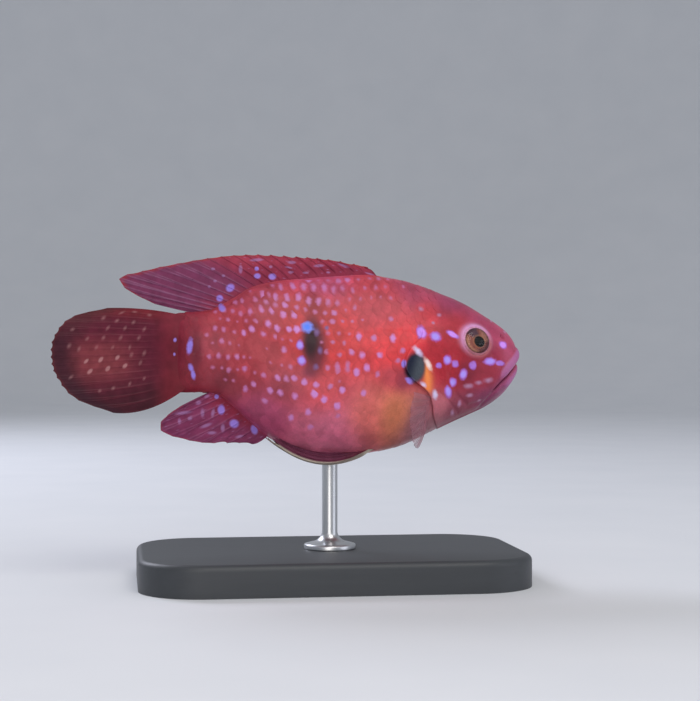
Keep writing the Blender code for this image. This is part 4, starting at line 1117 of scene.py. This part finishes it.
def dorsal_rays(number):
    root_x, tip_x, tip_z = smooth_curve(DORSAL_KEYS[:, 0], DORSAL_KEYS[:, 1:], number).T
    share = number / DORSAL_KEYS[-1, 0]
    return (np.stack([root_x + 0.6, 0 * share, back_z(root_x) - ROOT_SINK], axis=1),
            np.stack([tip_x, DORSAL_LEAN * share**2, tip_z], axis=1),
            np.stack([0 * share, 0.25 * np.sin(share * 9), 0.9 - 1.1 * share], axis=1))


def caudal_rays(number):
    root_z, tip_x, tip_z = smooth_curve(CAUDAL_KEYS[:, 0], CAUDAL_KEYS[:, 1:], number).T
    share = number / CAUDAL_KEYS[-1, 0] * 2 - 1
    return (np.stack([-20.0 + 0 * share, 0 * share, root_z], axis=1),
            np.stack([tip_x, CAUDAL_WAVE * np.sin(share * 5), tip_z], axis=1),
            np.stack([0 * share, 0 * share, np.where(share < 0, 0.5, -1.5) * share**2], axis=1))


def anal_rays(number):
    root_x, tip_x, tip_z = smooth_curve(ANAL_KEYS[:, 0], ANAL_KEYS[:, 1:], number).T
    share = number / ANAL_KEYS[-1, 0]
    return (np.stack([root_x + 0.8, 0 * share, belly_z(root_x) + ROOT_SINK], axis=1),
            np.stack([tip_x, ANAL_LEAN * share**0.7, tip_z], axis=1),
            np.stack([0 * share, 0.2 * np.sin(share * 6), -0.8 + 0.9 * share], axis=1))


def pectoral_rays(number):
    share = number / 10
    (x0, z0), (x1, z1) = PECTORAL_ROOT
    x, z = x0 + (x1 - x0) * share, z0 + (z1 - z0) * share
    y = flank(x, z)[0][:, 1]
    turn = PECTORAL_RISE + (PECTORAL_DROP - PECTORAL_RISE) * share
    length = PECTORAL_LENGTH * (1 - 0.5 * share**2) * (0.8 + 0.2 * ramp(share, 0, 0.3))
    back = -np.cos(turn) * math.cos(PECTORAL_SPLAY)
    out = np.cos(turn) * math.sin(PECTORAL_SPLAY) + 0.1
    return (np.stack([x + 0.6, y - 1.4, z], axis=1),
            np.stack([x + length * back, y + length * out, z + length * np.sin(turn)], axis=1),
            np.stack([0.05 * length, 0.05 * length, 0 * share], axis=1))


def pelvic_rays(number):
    share = (number / 5)[:, None]
    (root_a, tip_a, bow_a), (root_b, tip_b, bow_b) = PELVIC_SPINE, PELVIC_INNER
    return (np.array(root_a) * (1 - share) + np.array(root_b) * share,
            np.array(tip_a) * (1 - share**0.8) + np.array(tip_b) * share**0.8,
            (0, 0, 1) * (bow_a * (1 - share) + bow_b * share))

print("rays:", *(f"{int(keys[-1, 0]) + 1} {word}" for keys, word in
                 ((DORSAL_KEYS, "dorsal"), (CAUDAL_KEYS, "tail"), (ANAL_KEYS, "anal"))))


# %% Fin sheets
def fin_sheet(rays, last, spines, per_gap=14, rows=64, membrane=0.2, ridge=0.26, sleeve=0.5,
              pleat=0.08, fleshy=0.0):
    """Dense sheet of a fin: its middle surface, half thickness, normals and places."""
    number = np.linspace(0, last, last * per_gap + 1)
    ray = np.round(number)
    off = (number - ray)[:, None]
    stiff = (ray < spines)[:, None]
    notch = np.where(np.floor(number) < spines, 0.012 + 0.07 * (1 - ramp(number, 6, 12)), 0.012)[:, None]
    reach = np.linspace(0, 1, rows)[None] + 0 * off
    roots, tips, bow = rays(number)
    scallop = 1 - notch * np.abs(np.sin(math.pi * number))[:, None] ** 0.8
    held = reach * scallop
    sheet = roots[:, None] + (tips - roots)[:, None] * held[..., None]
    sheet = sheet + bow[:, None] * (4 * held * (1 - held))[..., None]
    length = np.linalg.norm(tips - roots, axis=1)[:, None]
    spacing = np.linalg.norm(np.gradient(sheet, axis=0), axis=-1) * per_gap
    first = np.where(stiff, 0, 0.17 * ramp(reach, 0.3, 1.1))
    second = np.where(stiff, 0, 0.085 * ramp(reach, 0.6, 1.2))
    width = np.where(stiff, 0.22 - 0.1 * reach, 0.2 - 0.11 * reach) / np.maximum(spacing, 0.25)
    crest = np.zeros(reach.shape)
    for sign_a in (1, -1):
        for sign_b in (1, -1):
            crest = np.maximum(crest, bump(off - sign_a * first - sign_b * second, width))
    height = np.where(stiff, ridge * (1 - 0.55 * reach), ridge * (0.8 - 0.45 * reach))
    bare = ramp(held * length, ROOT_SINK + fleshy, ROOT_SINK + 2 + 3 * fleshy)
    half = membrane / 2 + height * crest * bare + sleeve * np.exp(-held * length / 2.6)
    normal = np.cross(np.gradient(sheet, axis=0), np.gradient(sheet, axis=1))
    normal /= np.maximum(np.linalg.norm(normal, axis=-1, keepdims=True), 1e-9)
    fold = pleat * np.sin(math.pi * number)[:, None] * ramp(reach, 0.1, 0.6)
    sheet = sheet + normal * fold[..., None]
    return {"sheet": sheet, "half": half, "normal": normal, "crest": crest * bare, "reach": reach,
            "number": number[:, None] + 0 * reach, "distance": held * length, "spacing": spacing}


def make_fin(name, node, grid, material, paint, masks, side=1):
    """A closed fin from its sheet, its colours and its masks."""
    columns, rows = grid["half"].shape
    offset = grid["normal"] * grid["half"][..., None]
    points = np.concatenate([grid["sheet"] + offset, grid["sheet"] - offset]).reshape(-1, 3)
    layer = columns * rows
    index = np.arange(layer).reshape(columns, rows)
    quads = np.stack([index[:-1, :-1], index[1:, :-1], index[1:, 1:], index[:-1, 1:]], axis=-1).reshape(-1, 4)
    border = [*index[:, 0], *index[-1, 1:], *index[-2::-1, -1], *index[0, -2:0:-1]]
    faces = [tuple(map(int, q)) for q in quads] + [tuple(int(layer + v) for v in q[::-1]) for q in quads]
    faces += [(int(b), int(a), int(layer + a), int(layer + b))
              for a, b in zip(border, border[1:] + border[:1])]
    if side < 0:
        faces = [face[::-1] for face in faces]
    share = grid["number"] / grid["number"].max()
    uv = np.stack([share * 0.96 + 0.02, grid["reach"] * 0.46 + 0.02], axis=-1).reshape(-1, 2)
    uv = np.concatenate([uv, uv + (0, 0.5)])
    corner_index = np.array([v for face in faces for v in face])
    both = {key: np.concatenate([np.reshape(v, (layer, -1))] * 2).squeeze() for key, v in
            {"ground": paint, "crest": grid["crest"], **masks}.items()}
    made = make_piece(name, points * (1, side, 1), faces, material, {"OFBake": uv[corner_index]}, both)
    made.data.set_sharp_from_angle(angle=math.radians(60))
    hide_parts(node)
    return made


def blend(*layers):
    """Colours laid over one another: a hex code, then pairs of a hex code and its share."""
    result = np.array(colour(layers[0])[:3])
    for code, share in layers[1:]:
        result = result + (np.array(colour(code)[:3]) - result) * np.asarray(share)[..., None]
    return result


def fin_flecks(grid, every, apart, radius, lean, long, first=1.0, seed=3):
    """Pale flecks, in rows along the rays and every other row set back by half, leant in degrees."""
    random = np.random.default_rng(seed)
    lean = math.radians(lean)
    mask = np.full(grid["reach"].shape, -1.0)
    rows = np.arange(first, grid["number"].max(), every)
    for order, row in enumerate(rows):
        for step in range(30):
            at = apart * (step + 0.5 * (order % 2)) + random.uniform(-0.2, 0.2)
            across = (grid["number"] - row - random.uniform(-0.12, 0.12)) * grid["spacing"]
            down = grid["distance"] - at
            size = radius * random.uniform(0.7, 1.15)
            lengthwise = (down * math.cos(lean) + across * math.sin(lean)) / long
            crosswise = across * math.cos(lean) - down * math.sin(lean)
            mask = np.maximum(mask, 1 - np.hypot(crosswise, lengthwise) / size)
    return mask


# Lilac spots along the feet of the dorsal and anal fins and on the tail's base
FIN_VIOLETS = (
    (-11.3, 12.3, 1.0, 0.85, 35), (-13.3, 10.3, 0.75, 0.75, 0), (-13.1, 8.7, 0.55, 0.65, 0),
    (-3.2, 14.5, 0.85, 0.7, 0), (-6.1, 14.6, 0.75, 0.6, 0), (-6.2, 16.0, 0.5, 0.5, 0),
    (-13.1, -11.0, 0.8, 1.1, 0), (-10.6, -13.7, 1.05, 0.95, -20), (-6.7, -14.9, 0.75, 1.1, 18),
    (-14.0, -8.5, 0.5, 0.55, 0), (-21.9, 2.3, 0.36, 0.5, -10), (-22.0, -0.4, 0.26, 0.42, 0),
)

# Pale marks along the margin and the foot of the dorsal fin
DORSAL_STREAKS = (
    (-6.2, 17.7, 1.9, 0.42, 4), (0.6, 17.3, 1.2, 0.45, 0), (5.9, 16.7, 1.5, 0.42, 4),
    (10.7, 16.8, 1.7, 0.38, -20), (15.8, 15.2, 1.4, 0.24, -16), (7.7, 15.4, 0.6, 0.3, 0),
    (3.3, 15.3, 0.9, 0.32, 0), (0.4, 15.4, 0.8, 0.34, 0), (0.0, 16.3, 1.1, 0.26, -10),
    (-9.3, 15.9, 0.55, 1.2, 0), (-3.5, 16.4, 0.5, 0.4, 0), (-12.6, 14.6, 0.5, 0.4, 0),
    (-14.2, 13.6, 0.5, 0.4, 0), (-14.6, 15.9, 0.6, 0.4, 0), (-15.3, 12.5, 0.45, 0.4, 0),
)

# Mauve marks of the anal fin, larger and softer than the violet ones
ANAL_STREAKS = (
    (-20.4, -11.5, 2.6, 0.55, 6), (-17.5, -9.6, 0.9, 0.7, 20), (-15.9, -8.4, 0.9, 0.5, 20),
    (-16.7, -11.6, 0.6, 1.4, 0), (-14.7, -11.6, 0.55, 1.5, -10), (-19.1, -12.6, 0.7, 0.6, 0),
    (-16.0, -14.0, 1.9, 0.55, 20), (-14.9, -15.4, 1.4, 0.55, 0), (-12.8, -14.5, 0.65, 1.4, 0),
    (-21.1, -13.1, 0.5, 1.0, 0), (-9.6, -16.2, 1.3, 0.5, 10),
)

# Pale flecks of the tail fin, in leaning chains, and fainter ones round them
TAIL_FLECKS = (
    (-37.8, -3.6, 0.95, 0.5, 48), (-34.5, -3.1, 0.9, 0.52, 55), (-31.3, -2.6, 0.85, 0.5, 50),
    (-38.5, -1.7, 0.9, 0.4, 50), (-35.8, -1.4, 0.95, 0.48, 55), (-32.7, -1.0, 0.85, 0.46, 55),
)
FAINT_TAIL_FLECKS = (
    (-36.6, 0.9, 1.04, 0.55, 60), (-33.6, 0.9, 0.98, 0.49, 60), (-38.3, 2.5, 1.04, 0.55, 50),
    (-35.3, 2.7, 1.04, 0.62, 60), (-32.1, 2.7, 1.17, 0.59, 60), (-28.7, 2.7, 1.1, 0.62, 60),
    (-39.8, 0.6, 1.2, 0.6, 65), (-34.5, 4.5, 1.3, 0.55, 55), (-31.3, 4.5, 1.1, 0.55, 60),
    (-35.3, 6.4, 1.1, 0.65, 45), (-32.8, 5.9, 1.0, 0.6, 40), (-29.7, 5.6, 1.0, 0.6, 50),
    (-27.7, -0.2, 1.3, 0.65, 65), (-28.4, -2.0, 1.2, 0.55, 65), (-30.1, -0.5, 1.1, 0.65, 65),
    (-30.4, 0.9, 1.1, 0.5, 75), (-27.7, 4.3, 1.2, 0.55, 60), (-26.7, 7.0, 0.9, 0.6, 0),
    (-33.5, -6.8, 0.9, 0.65, 50), (-30.4, -6.0, 1.1, 0.5, 65), (-36.0, -7.3, 0.8, 0.6, 45),
    (-27.7, -5.0, 0.9, 0.5, 60), (-41.3, -4.7, 1.2, 0.55, 45), (-41.0, 4.2, 1.0, 0.6, 30),
    (-41.6, 1.2, 1.2, 0.7, 60), (-31.9, 7.4, 1.4, 0.42, 25), (-29.5, 7.6, 1.0, 0.42, 0),
)


def violet(grid):
    return ovals(grid["sheet"], FIN_VIOLETS)

print("named marks on the fins:", sum(len(table) for table in (
    FIN_VIOLETS, DORSAL_STREAKS, ANAL_STREAKS, TAIL_FLECKS, FAINT_TAIL_FLECKS)))


# %% [markdown]
# Fin membrane is thin and wet. Part of the light goes through it, which a translucent shader
# adds, so the fins glow against the light, and its mottling is about 1.6 mm wide. The tail has
# leaning chains of pale flecks, the dorsal a red spiny part with pale marks and a mauve soft part
# with a thin red margin, and the anal fin violet spots and softer mauve marks.

# %% Fin materials
def fin_material(name, fleck_code, clear=False):
    """Wet membrane over rays. A clear one lets the background show between its rays."""
    made, tree, shader = start_material(
        name, Roughness=0.5, IOR=1.36, Specular_IOR_Level=0.3, Coat_Weight=0.12, Coat_Roughness=0.2, Coat_IOR=1.34)
    place = add_node(tree, "ShaderNodeTexCoord").outputs["Object"]
    crest = add_node(tree, "ShaderNodeAttribute", {"attribute_name": "crest"}).outputs["Fac"]
    paint = add_node(tree, "ShaderNodeAttribute", {"attribute_name": "ground"}).outputs["Color"]
    fleck = add_node(tree, "ShaderNodeAttribute", {"attribute_name": "fleck"}).outputs["Fac"]
    mottle = add_node(tree, "ShaderNodeTexNoise", inputs={
        "Vector": place, "Scale": 1 / 0.0016, "Detail": 4.0}).outputs["Fac"]
    shade = add_node(tree, "ShaderNodeMapRange", inputs={
        "Value": mottle, "From Min": 0.3, "From Max": 0.7, "To Min": 0.84, "To Max": 1.16}).outputs[0]
    paint = add_node(tree, "ShaderNodeVectorMath", {"operation": "SCALE"}, {0: paint, "Scale": shade}).outputs[0]
    spot = add_node(tree, "ShaderNodeMapRange", {"interpolation_type": "SMOOTHSTEP"},
                    {"Value": fleck, "From Min": 0.1, "From Max": 0.6, "To Max": 0.62}).outputs[0]
    paint = add_node(tree, "ShaderNodeMix", {"data_type": "RGBA"}, {0: spot, 6: paint, 7: colour(fleck_code)}).outputs[2]
    bold = add_node(tree, "ShaderNodeAttribute", {"attribute_name": "violet_fleck"}).outputs["Fac"]
    bold = add_node(tree, "ShaderNodeMapRange", {"interpolation_type": "SMOOTHSTEP"},
                    {"Value": bold, "From Min": -0.1, "From Max": 0.45, "To Max": 0.9}).outputs[0]
    paint = add_node(tree, "ShaderNodeMix", {"data_type": "RGBA"}, {0: bold, 6: paint, 7: colour("#AE92F4")}).outputs[2]
    tree.links.new(paint, shader.inputs["Base Color"])
    if clear:
        open_share = add_node(tree, "ShaderNodeMapRange", inputs={
            "Value": crest, "To Min": 0.22, "To Max": 0.5}).outputs[0]
        tree.links.new(open_share, shader.inputs["Alpha"])
        return made
    through = add_node(tree, "ShaderNodeBsdfTranslucent", inputs={"Color": paint}).outputs[0]
    mixed = add_node(tree, "ShaderNodeMixShader", inputs={0: 0.25, 1: shader.outputs[0], 2: through}).outputs[0]
    tree.links.new(mixed, tree.nodes["Material Output"].inputs["Surface"])
    return made


fin_skin = fin_material("fin_membrane", "#D29A9C")
violet_fin_skin = fin_material("violet_marked_fin_membrane", "#B98CC4")
clear_skin = fin_material("clear_fin_membrane", "#C98A7C", clear=True)

# %% Tail fin
grid = fin_sheet(caudal_rays, 16, 0, per_gap=18, rows=84, ridge=0.12, sleeve=0.85, pleat=0.03, fleshy=1.6)
share = grid["number"] / 16 * 2 - 1
# Painted shade: #481826 darkens the lower part of the tail and #3E1C2A the outer part of its middle and lower rays
tail_paint = blend("#661E34", ("#96464C", 0.8 * ramp(grid["reach"], 0.25, 0.6) * (1 - ramp(np.abs(share - 0.1), 0.1, 0.6))),
                   ("#481826", ramp(share, 0.35, 0.95)), ("#8A2A32", 0.7 * ramp(-share, 0.6, 0.95)),
                   ("#7E3242", 0.3 * grid["crest"]),
                   ("#3E1C2A", 0.88 * ramp(grid["reach"], 0.74, 0.93) * ramp(share, -0.8, -0.2)),
                   ("#582A30", 0.7 * ramp(grid["reach"], 0.6, 0.93) * (1 - ramp(share, -0.8, -0.2))),
                   ("#7E3436", 0.35 * ramp(grid["reach"], 0.97, 1.0)))
foot = (1 - ramp(grid["distance"], 2.0, 7.0))[..., None]
tail_paint = tail_paint * (1 - foot) + ground_colour(grid["sheet"]) * foot
flecks = np.maximum(ovals(grid["sheet"], TAIL_FLECKS), 0.42 * ovals(grid["sheet"], FAINT_TAIL_FLECKS))
make_fin("fin_tail", "fin_caudal", grid, fin_skin, tail_paint, {"fleck": flecks, "violet_fleck": violet(grid)})

# %% Dorsal fin
grid = fin_sheet(dorsal_rays, 22, 14, per_gap=14, rows=60, sleeve=0.45)
soft = ramp(grid["number"], 11.5, 15)
dorsal_paint = blend("#9C3450", ("#B24058", 0.8 * ramp(grid["reach"], 0.5, 0.8) * (1 - soft)),
                     ("#803C62", 0.9 * soft * ramp(grid["reach"], 0.1, 0.4)),
                     ("#B03A3E", 0.8 * ramp(grid["reach"], 0.93, 1.0)), ("#A06C90", 0.6 * grid["crest"] * soft),
                     ("#7E3A4E", 0.4 * grid["crest"] * (1 - soft)))
streaks = fin_flecks(grid, 1.0, 2.1, 0.4, lean=70, long=1.9, first=0.5, seed=8) - 0.4 - 0.9 * soft
streaks = np.maximum(streaks, ovals(grid["sheet"], DORSAL_STREAKS))
make_fin("fin_back", "fin_dorsal", grid, violet_fin_skin, dorsal_paint, {"fleck": streaks, "violet_fleck": violet(grid)})

# %% Anal fin
grid = fin_sheet(anal_rays, 10, 3, per_gap=16, rows=60, sleeve=0.45)
anal_paint = blend("#8C3A62", ("#A0304A", 1 - ramp(grid["reach"], 0.15, 0.5)),
                   ("#7A3258", 0.8 * ramp(grid["reach"], 0.7, 1.0)), ("#A8384A", 0.5 * ramp(grid["reach"], 0.96, 1.0)),
                   ("#9C5A84", 0.4 * grid["crest"]))
flecks = fin_flecks(grid, 0.75, 2.7, 0.42, lean=14, long=2.7, first=0.4, seed=21) - 0.5
flecks = np.maximum(flecks, 0.75 * ovals(grid["sheet"], ANAL_STREAKS))
make_fin("fin_vent", "fin_anal", grid, violet_fin_skin, anal_paint, {"fleck": flecks, "violet_fleck": violet(grid)})

# %% Paired fins
for side, word in ((1, "left"), (-1, "right")):
    grid = fin_sheet(pectoral_rays, 10, 0, per_gap=12, rows=48, membrane=0.12, ridge=0.2, sleeve=0.4)
    base = 1 - ramp(grid["distance"], 1.0, 3.0)
    grid["crest"] = grid["crest"] * (0.25 + 0.75 * ramp(grid["number"], 0.6, 2.0))
    paint = blend("#AC7484", ("#A0606C", grid["crest"]), ("#B4505A", base))
    make_fin("fin_breast_" + word, "fin_pectoral_" + word, grid, clear_skin, paint,
             {"fleck": grid["reach"] * 0 - 1, "violet_fleck": grid["reach"] * 0 - 1}, side)
    grid = fin_sheet(pelvic_rays, 5, 1, per_gap=16, rows=60, membrane=0.16, ridge=0.3, sleeve=0.4)
    paint = blend("#7A3A54", ("#8A3E50", 1 - ramp(grid["reach"], 0.1, 0.4)),
                  ("#CFCBB8", 0.9 * (1 - ramp(grid["number"], 0.3, 0.9))), ("#643048", 0.4 * grid["crest"]))
    make_fin("fin_belly_" + word, "fin_pelvic_" + word, grid, fin_skin, paint,
             {"fleck": grid["reach"] * 0 - 1, "violet_fleck": grid["reach"] * 0 - 1}, side)

# %% [markdown]
# ## Stand
# The swimming fish needs holding up, so it stands on a plain display stand of its own: a wooden
# plate painted dark grey, with its edges softened by hand, and a turned rod of brushed steel.

# %% Stand materials
stand_paint, tree, shader = start_material("satin_paint_on_wood", Roughness=0.48, IOR=1.5)
place = add_node(tree, "ShaderNodeTexCoord").outputs["Object"]
long_grain = add_node(tree, "ShaderNodeMapping", inputs={"Vector": place, "Scale": (1.0, 14.0, 14.0)}).outputs[0]
wood = add_node(tree, "ShaderNodeTexNoise", inputs={
    "Vector": long_grain, "Scale": 60.0, "Detail": 4.0, "Roughness": 0.6}).outputs["Fac"]
tone = add_node(tree, "ShaderNodeMix", {"data_type": "RGBA"}, {0: wood, 6: colour("#34373B"), 7: colour("#3C4044")}).outputs[2]
tree.links.new(tone, shader.inputs["Base Color"])
relief = add_node(tree, "ShaderNodeBump", inputs={"Strength": 0.25, "Distance": 0.0001, "Height": wood})
tree.links.new(relief.outputs[0], shader.inputs["Normal"])

rod_steel, tree, shader = start_material("brushed_steel", Roughness=0.3, Metallic=1.0, Base_Color=colour("#C6C8CA"))
place = add_node(tree, "ShaderNodeTexCoord").outputs["Object"]
turned = add_node(tree, "ShaderNodeMapping", inputs={"Vector": place, "Scale": (0.4, 0.4, 30.0)}).outputs[0]
brushing = add_node(tree, "ShaderNodeTexNoise", inputs={"Vector": turned, "Scale": 300.0, "Detail": 3.0}).outputs["Fac"]
rough = add_node(tree, "ShaderNodeMapRange", inputs={"Value": brushing, "To Min": 0.2, "To Max": 0.42}).outputs[0]
tree.links.new(rough, shader.inputs["Roughness"])

# %% Stand pieces
BASE = {"length": 74.0, "width": 46.0, "thickness": 6.0, "corner": 12.0, "bevel": 1.2}


def lathe_or_plate(name, rings, material, node):
    """A closed piece from equal rings of points, bottom first, with a fan at either end."""
    count, around, _ = rings.shape
    points = np.concatenate([rings.reshape(-1, 3), rings[:1].mean(1), rings[-1:].mean(1)])
    faces = []
    for j in range(around):
        k = (j + 1) % around
        faces += [(count * around, k, j), (count * around + 1, (count - 1) * around + j, (count - 1) * around + k)]
        faces += [(i * around + j, i * around + k, (i + 1) * around + k, (i + 1) * around + j) for i in range(count - 1)]
    made = make_piece(name, points, faces, material, swung=False)
    made.data.set_sharp_from_angle(angle=math.radians(40))
    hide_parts(node)
    return made


turn = np.arange(96) * 2 * math.pi / 96
corner_x = np.where(np.cos(turn) > 0, 1, -1) * (BASE["length"] / 2 - BASE["corner"])
corner_y = np.where(np.sin(turn) > 0, 1, -1) * (BASE["width"] / 2 - BASE["corner"])
rings = []
profile = [(0.0, 0.0), (0.0, BASE["thickness"] - BASE["bevel"])]
profile += [(BASE["bevel"] * (1 - math.cos(a)), BASE["thickness"] - BASE["bevel"] * (1 - math.sin(a)))
            for a in np.linspace(0, math.pi / 2, 9)[1:]]
for inward, height in profile:
    radius = BASE["corner"] - inward
    rings.append(np.stack([ROD_X + corner_x + radius * np.cos(turn), corner_y + radius * np.sin(turn),
                           0 * turn + height - AXIS_HEIGHT], axis=1))
lathe_or_plate("stand_plate", np.array(rings), stand_paint, "stand_base")

foot_z = BASE["thickness"] - AXIS_HEIGHT + 0.02
profile = [(4.9, 0.0), (5.0, 0.1), (5.0, 0.75), (4.9, 0.9), (4.2, 1.12), (3.2, 1.36), (2.5, 1.66), (2.0, 2.1),
           (1.66, 2.6), (1.5, 3.1), (1.5, -16.0 - foot_z)]
rings = [np.stack([ROD_X + r * np.cos(turn), r * np.sin(turn), 0 * turn + foot_z + h], axis=1) for r, h in profile]
lathe_or_plate("stand_shaft", np.array(rings), rod_steel, "stand_rod")
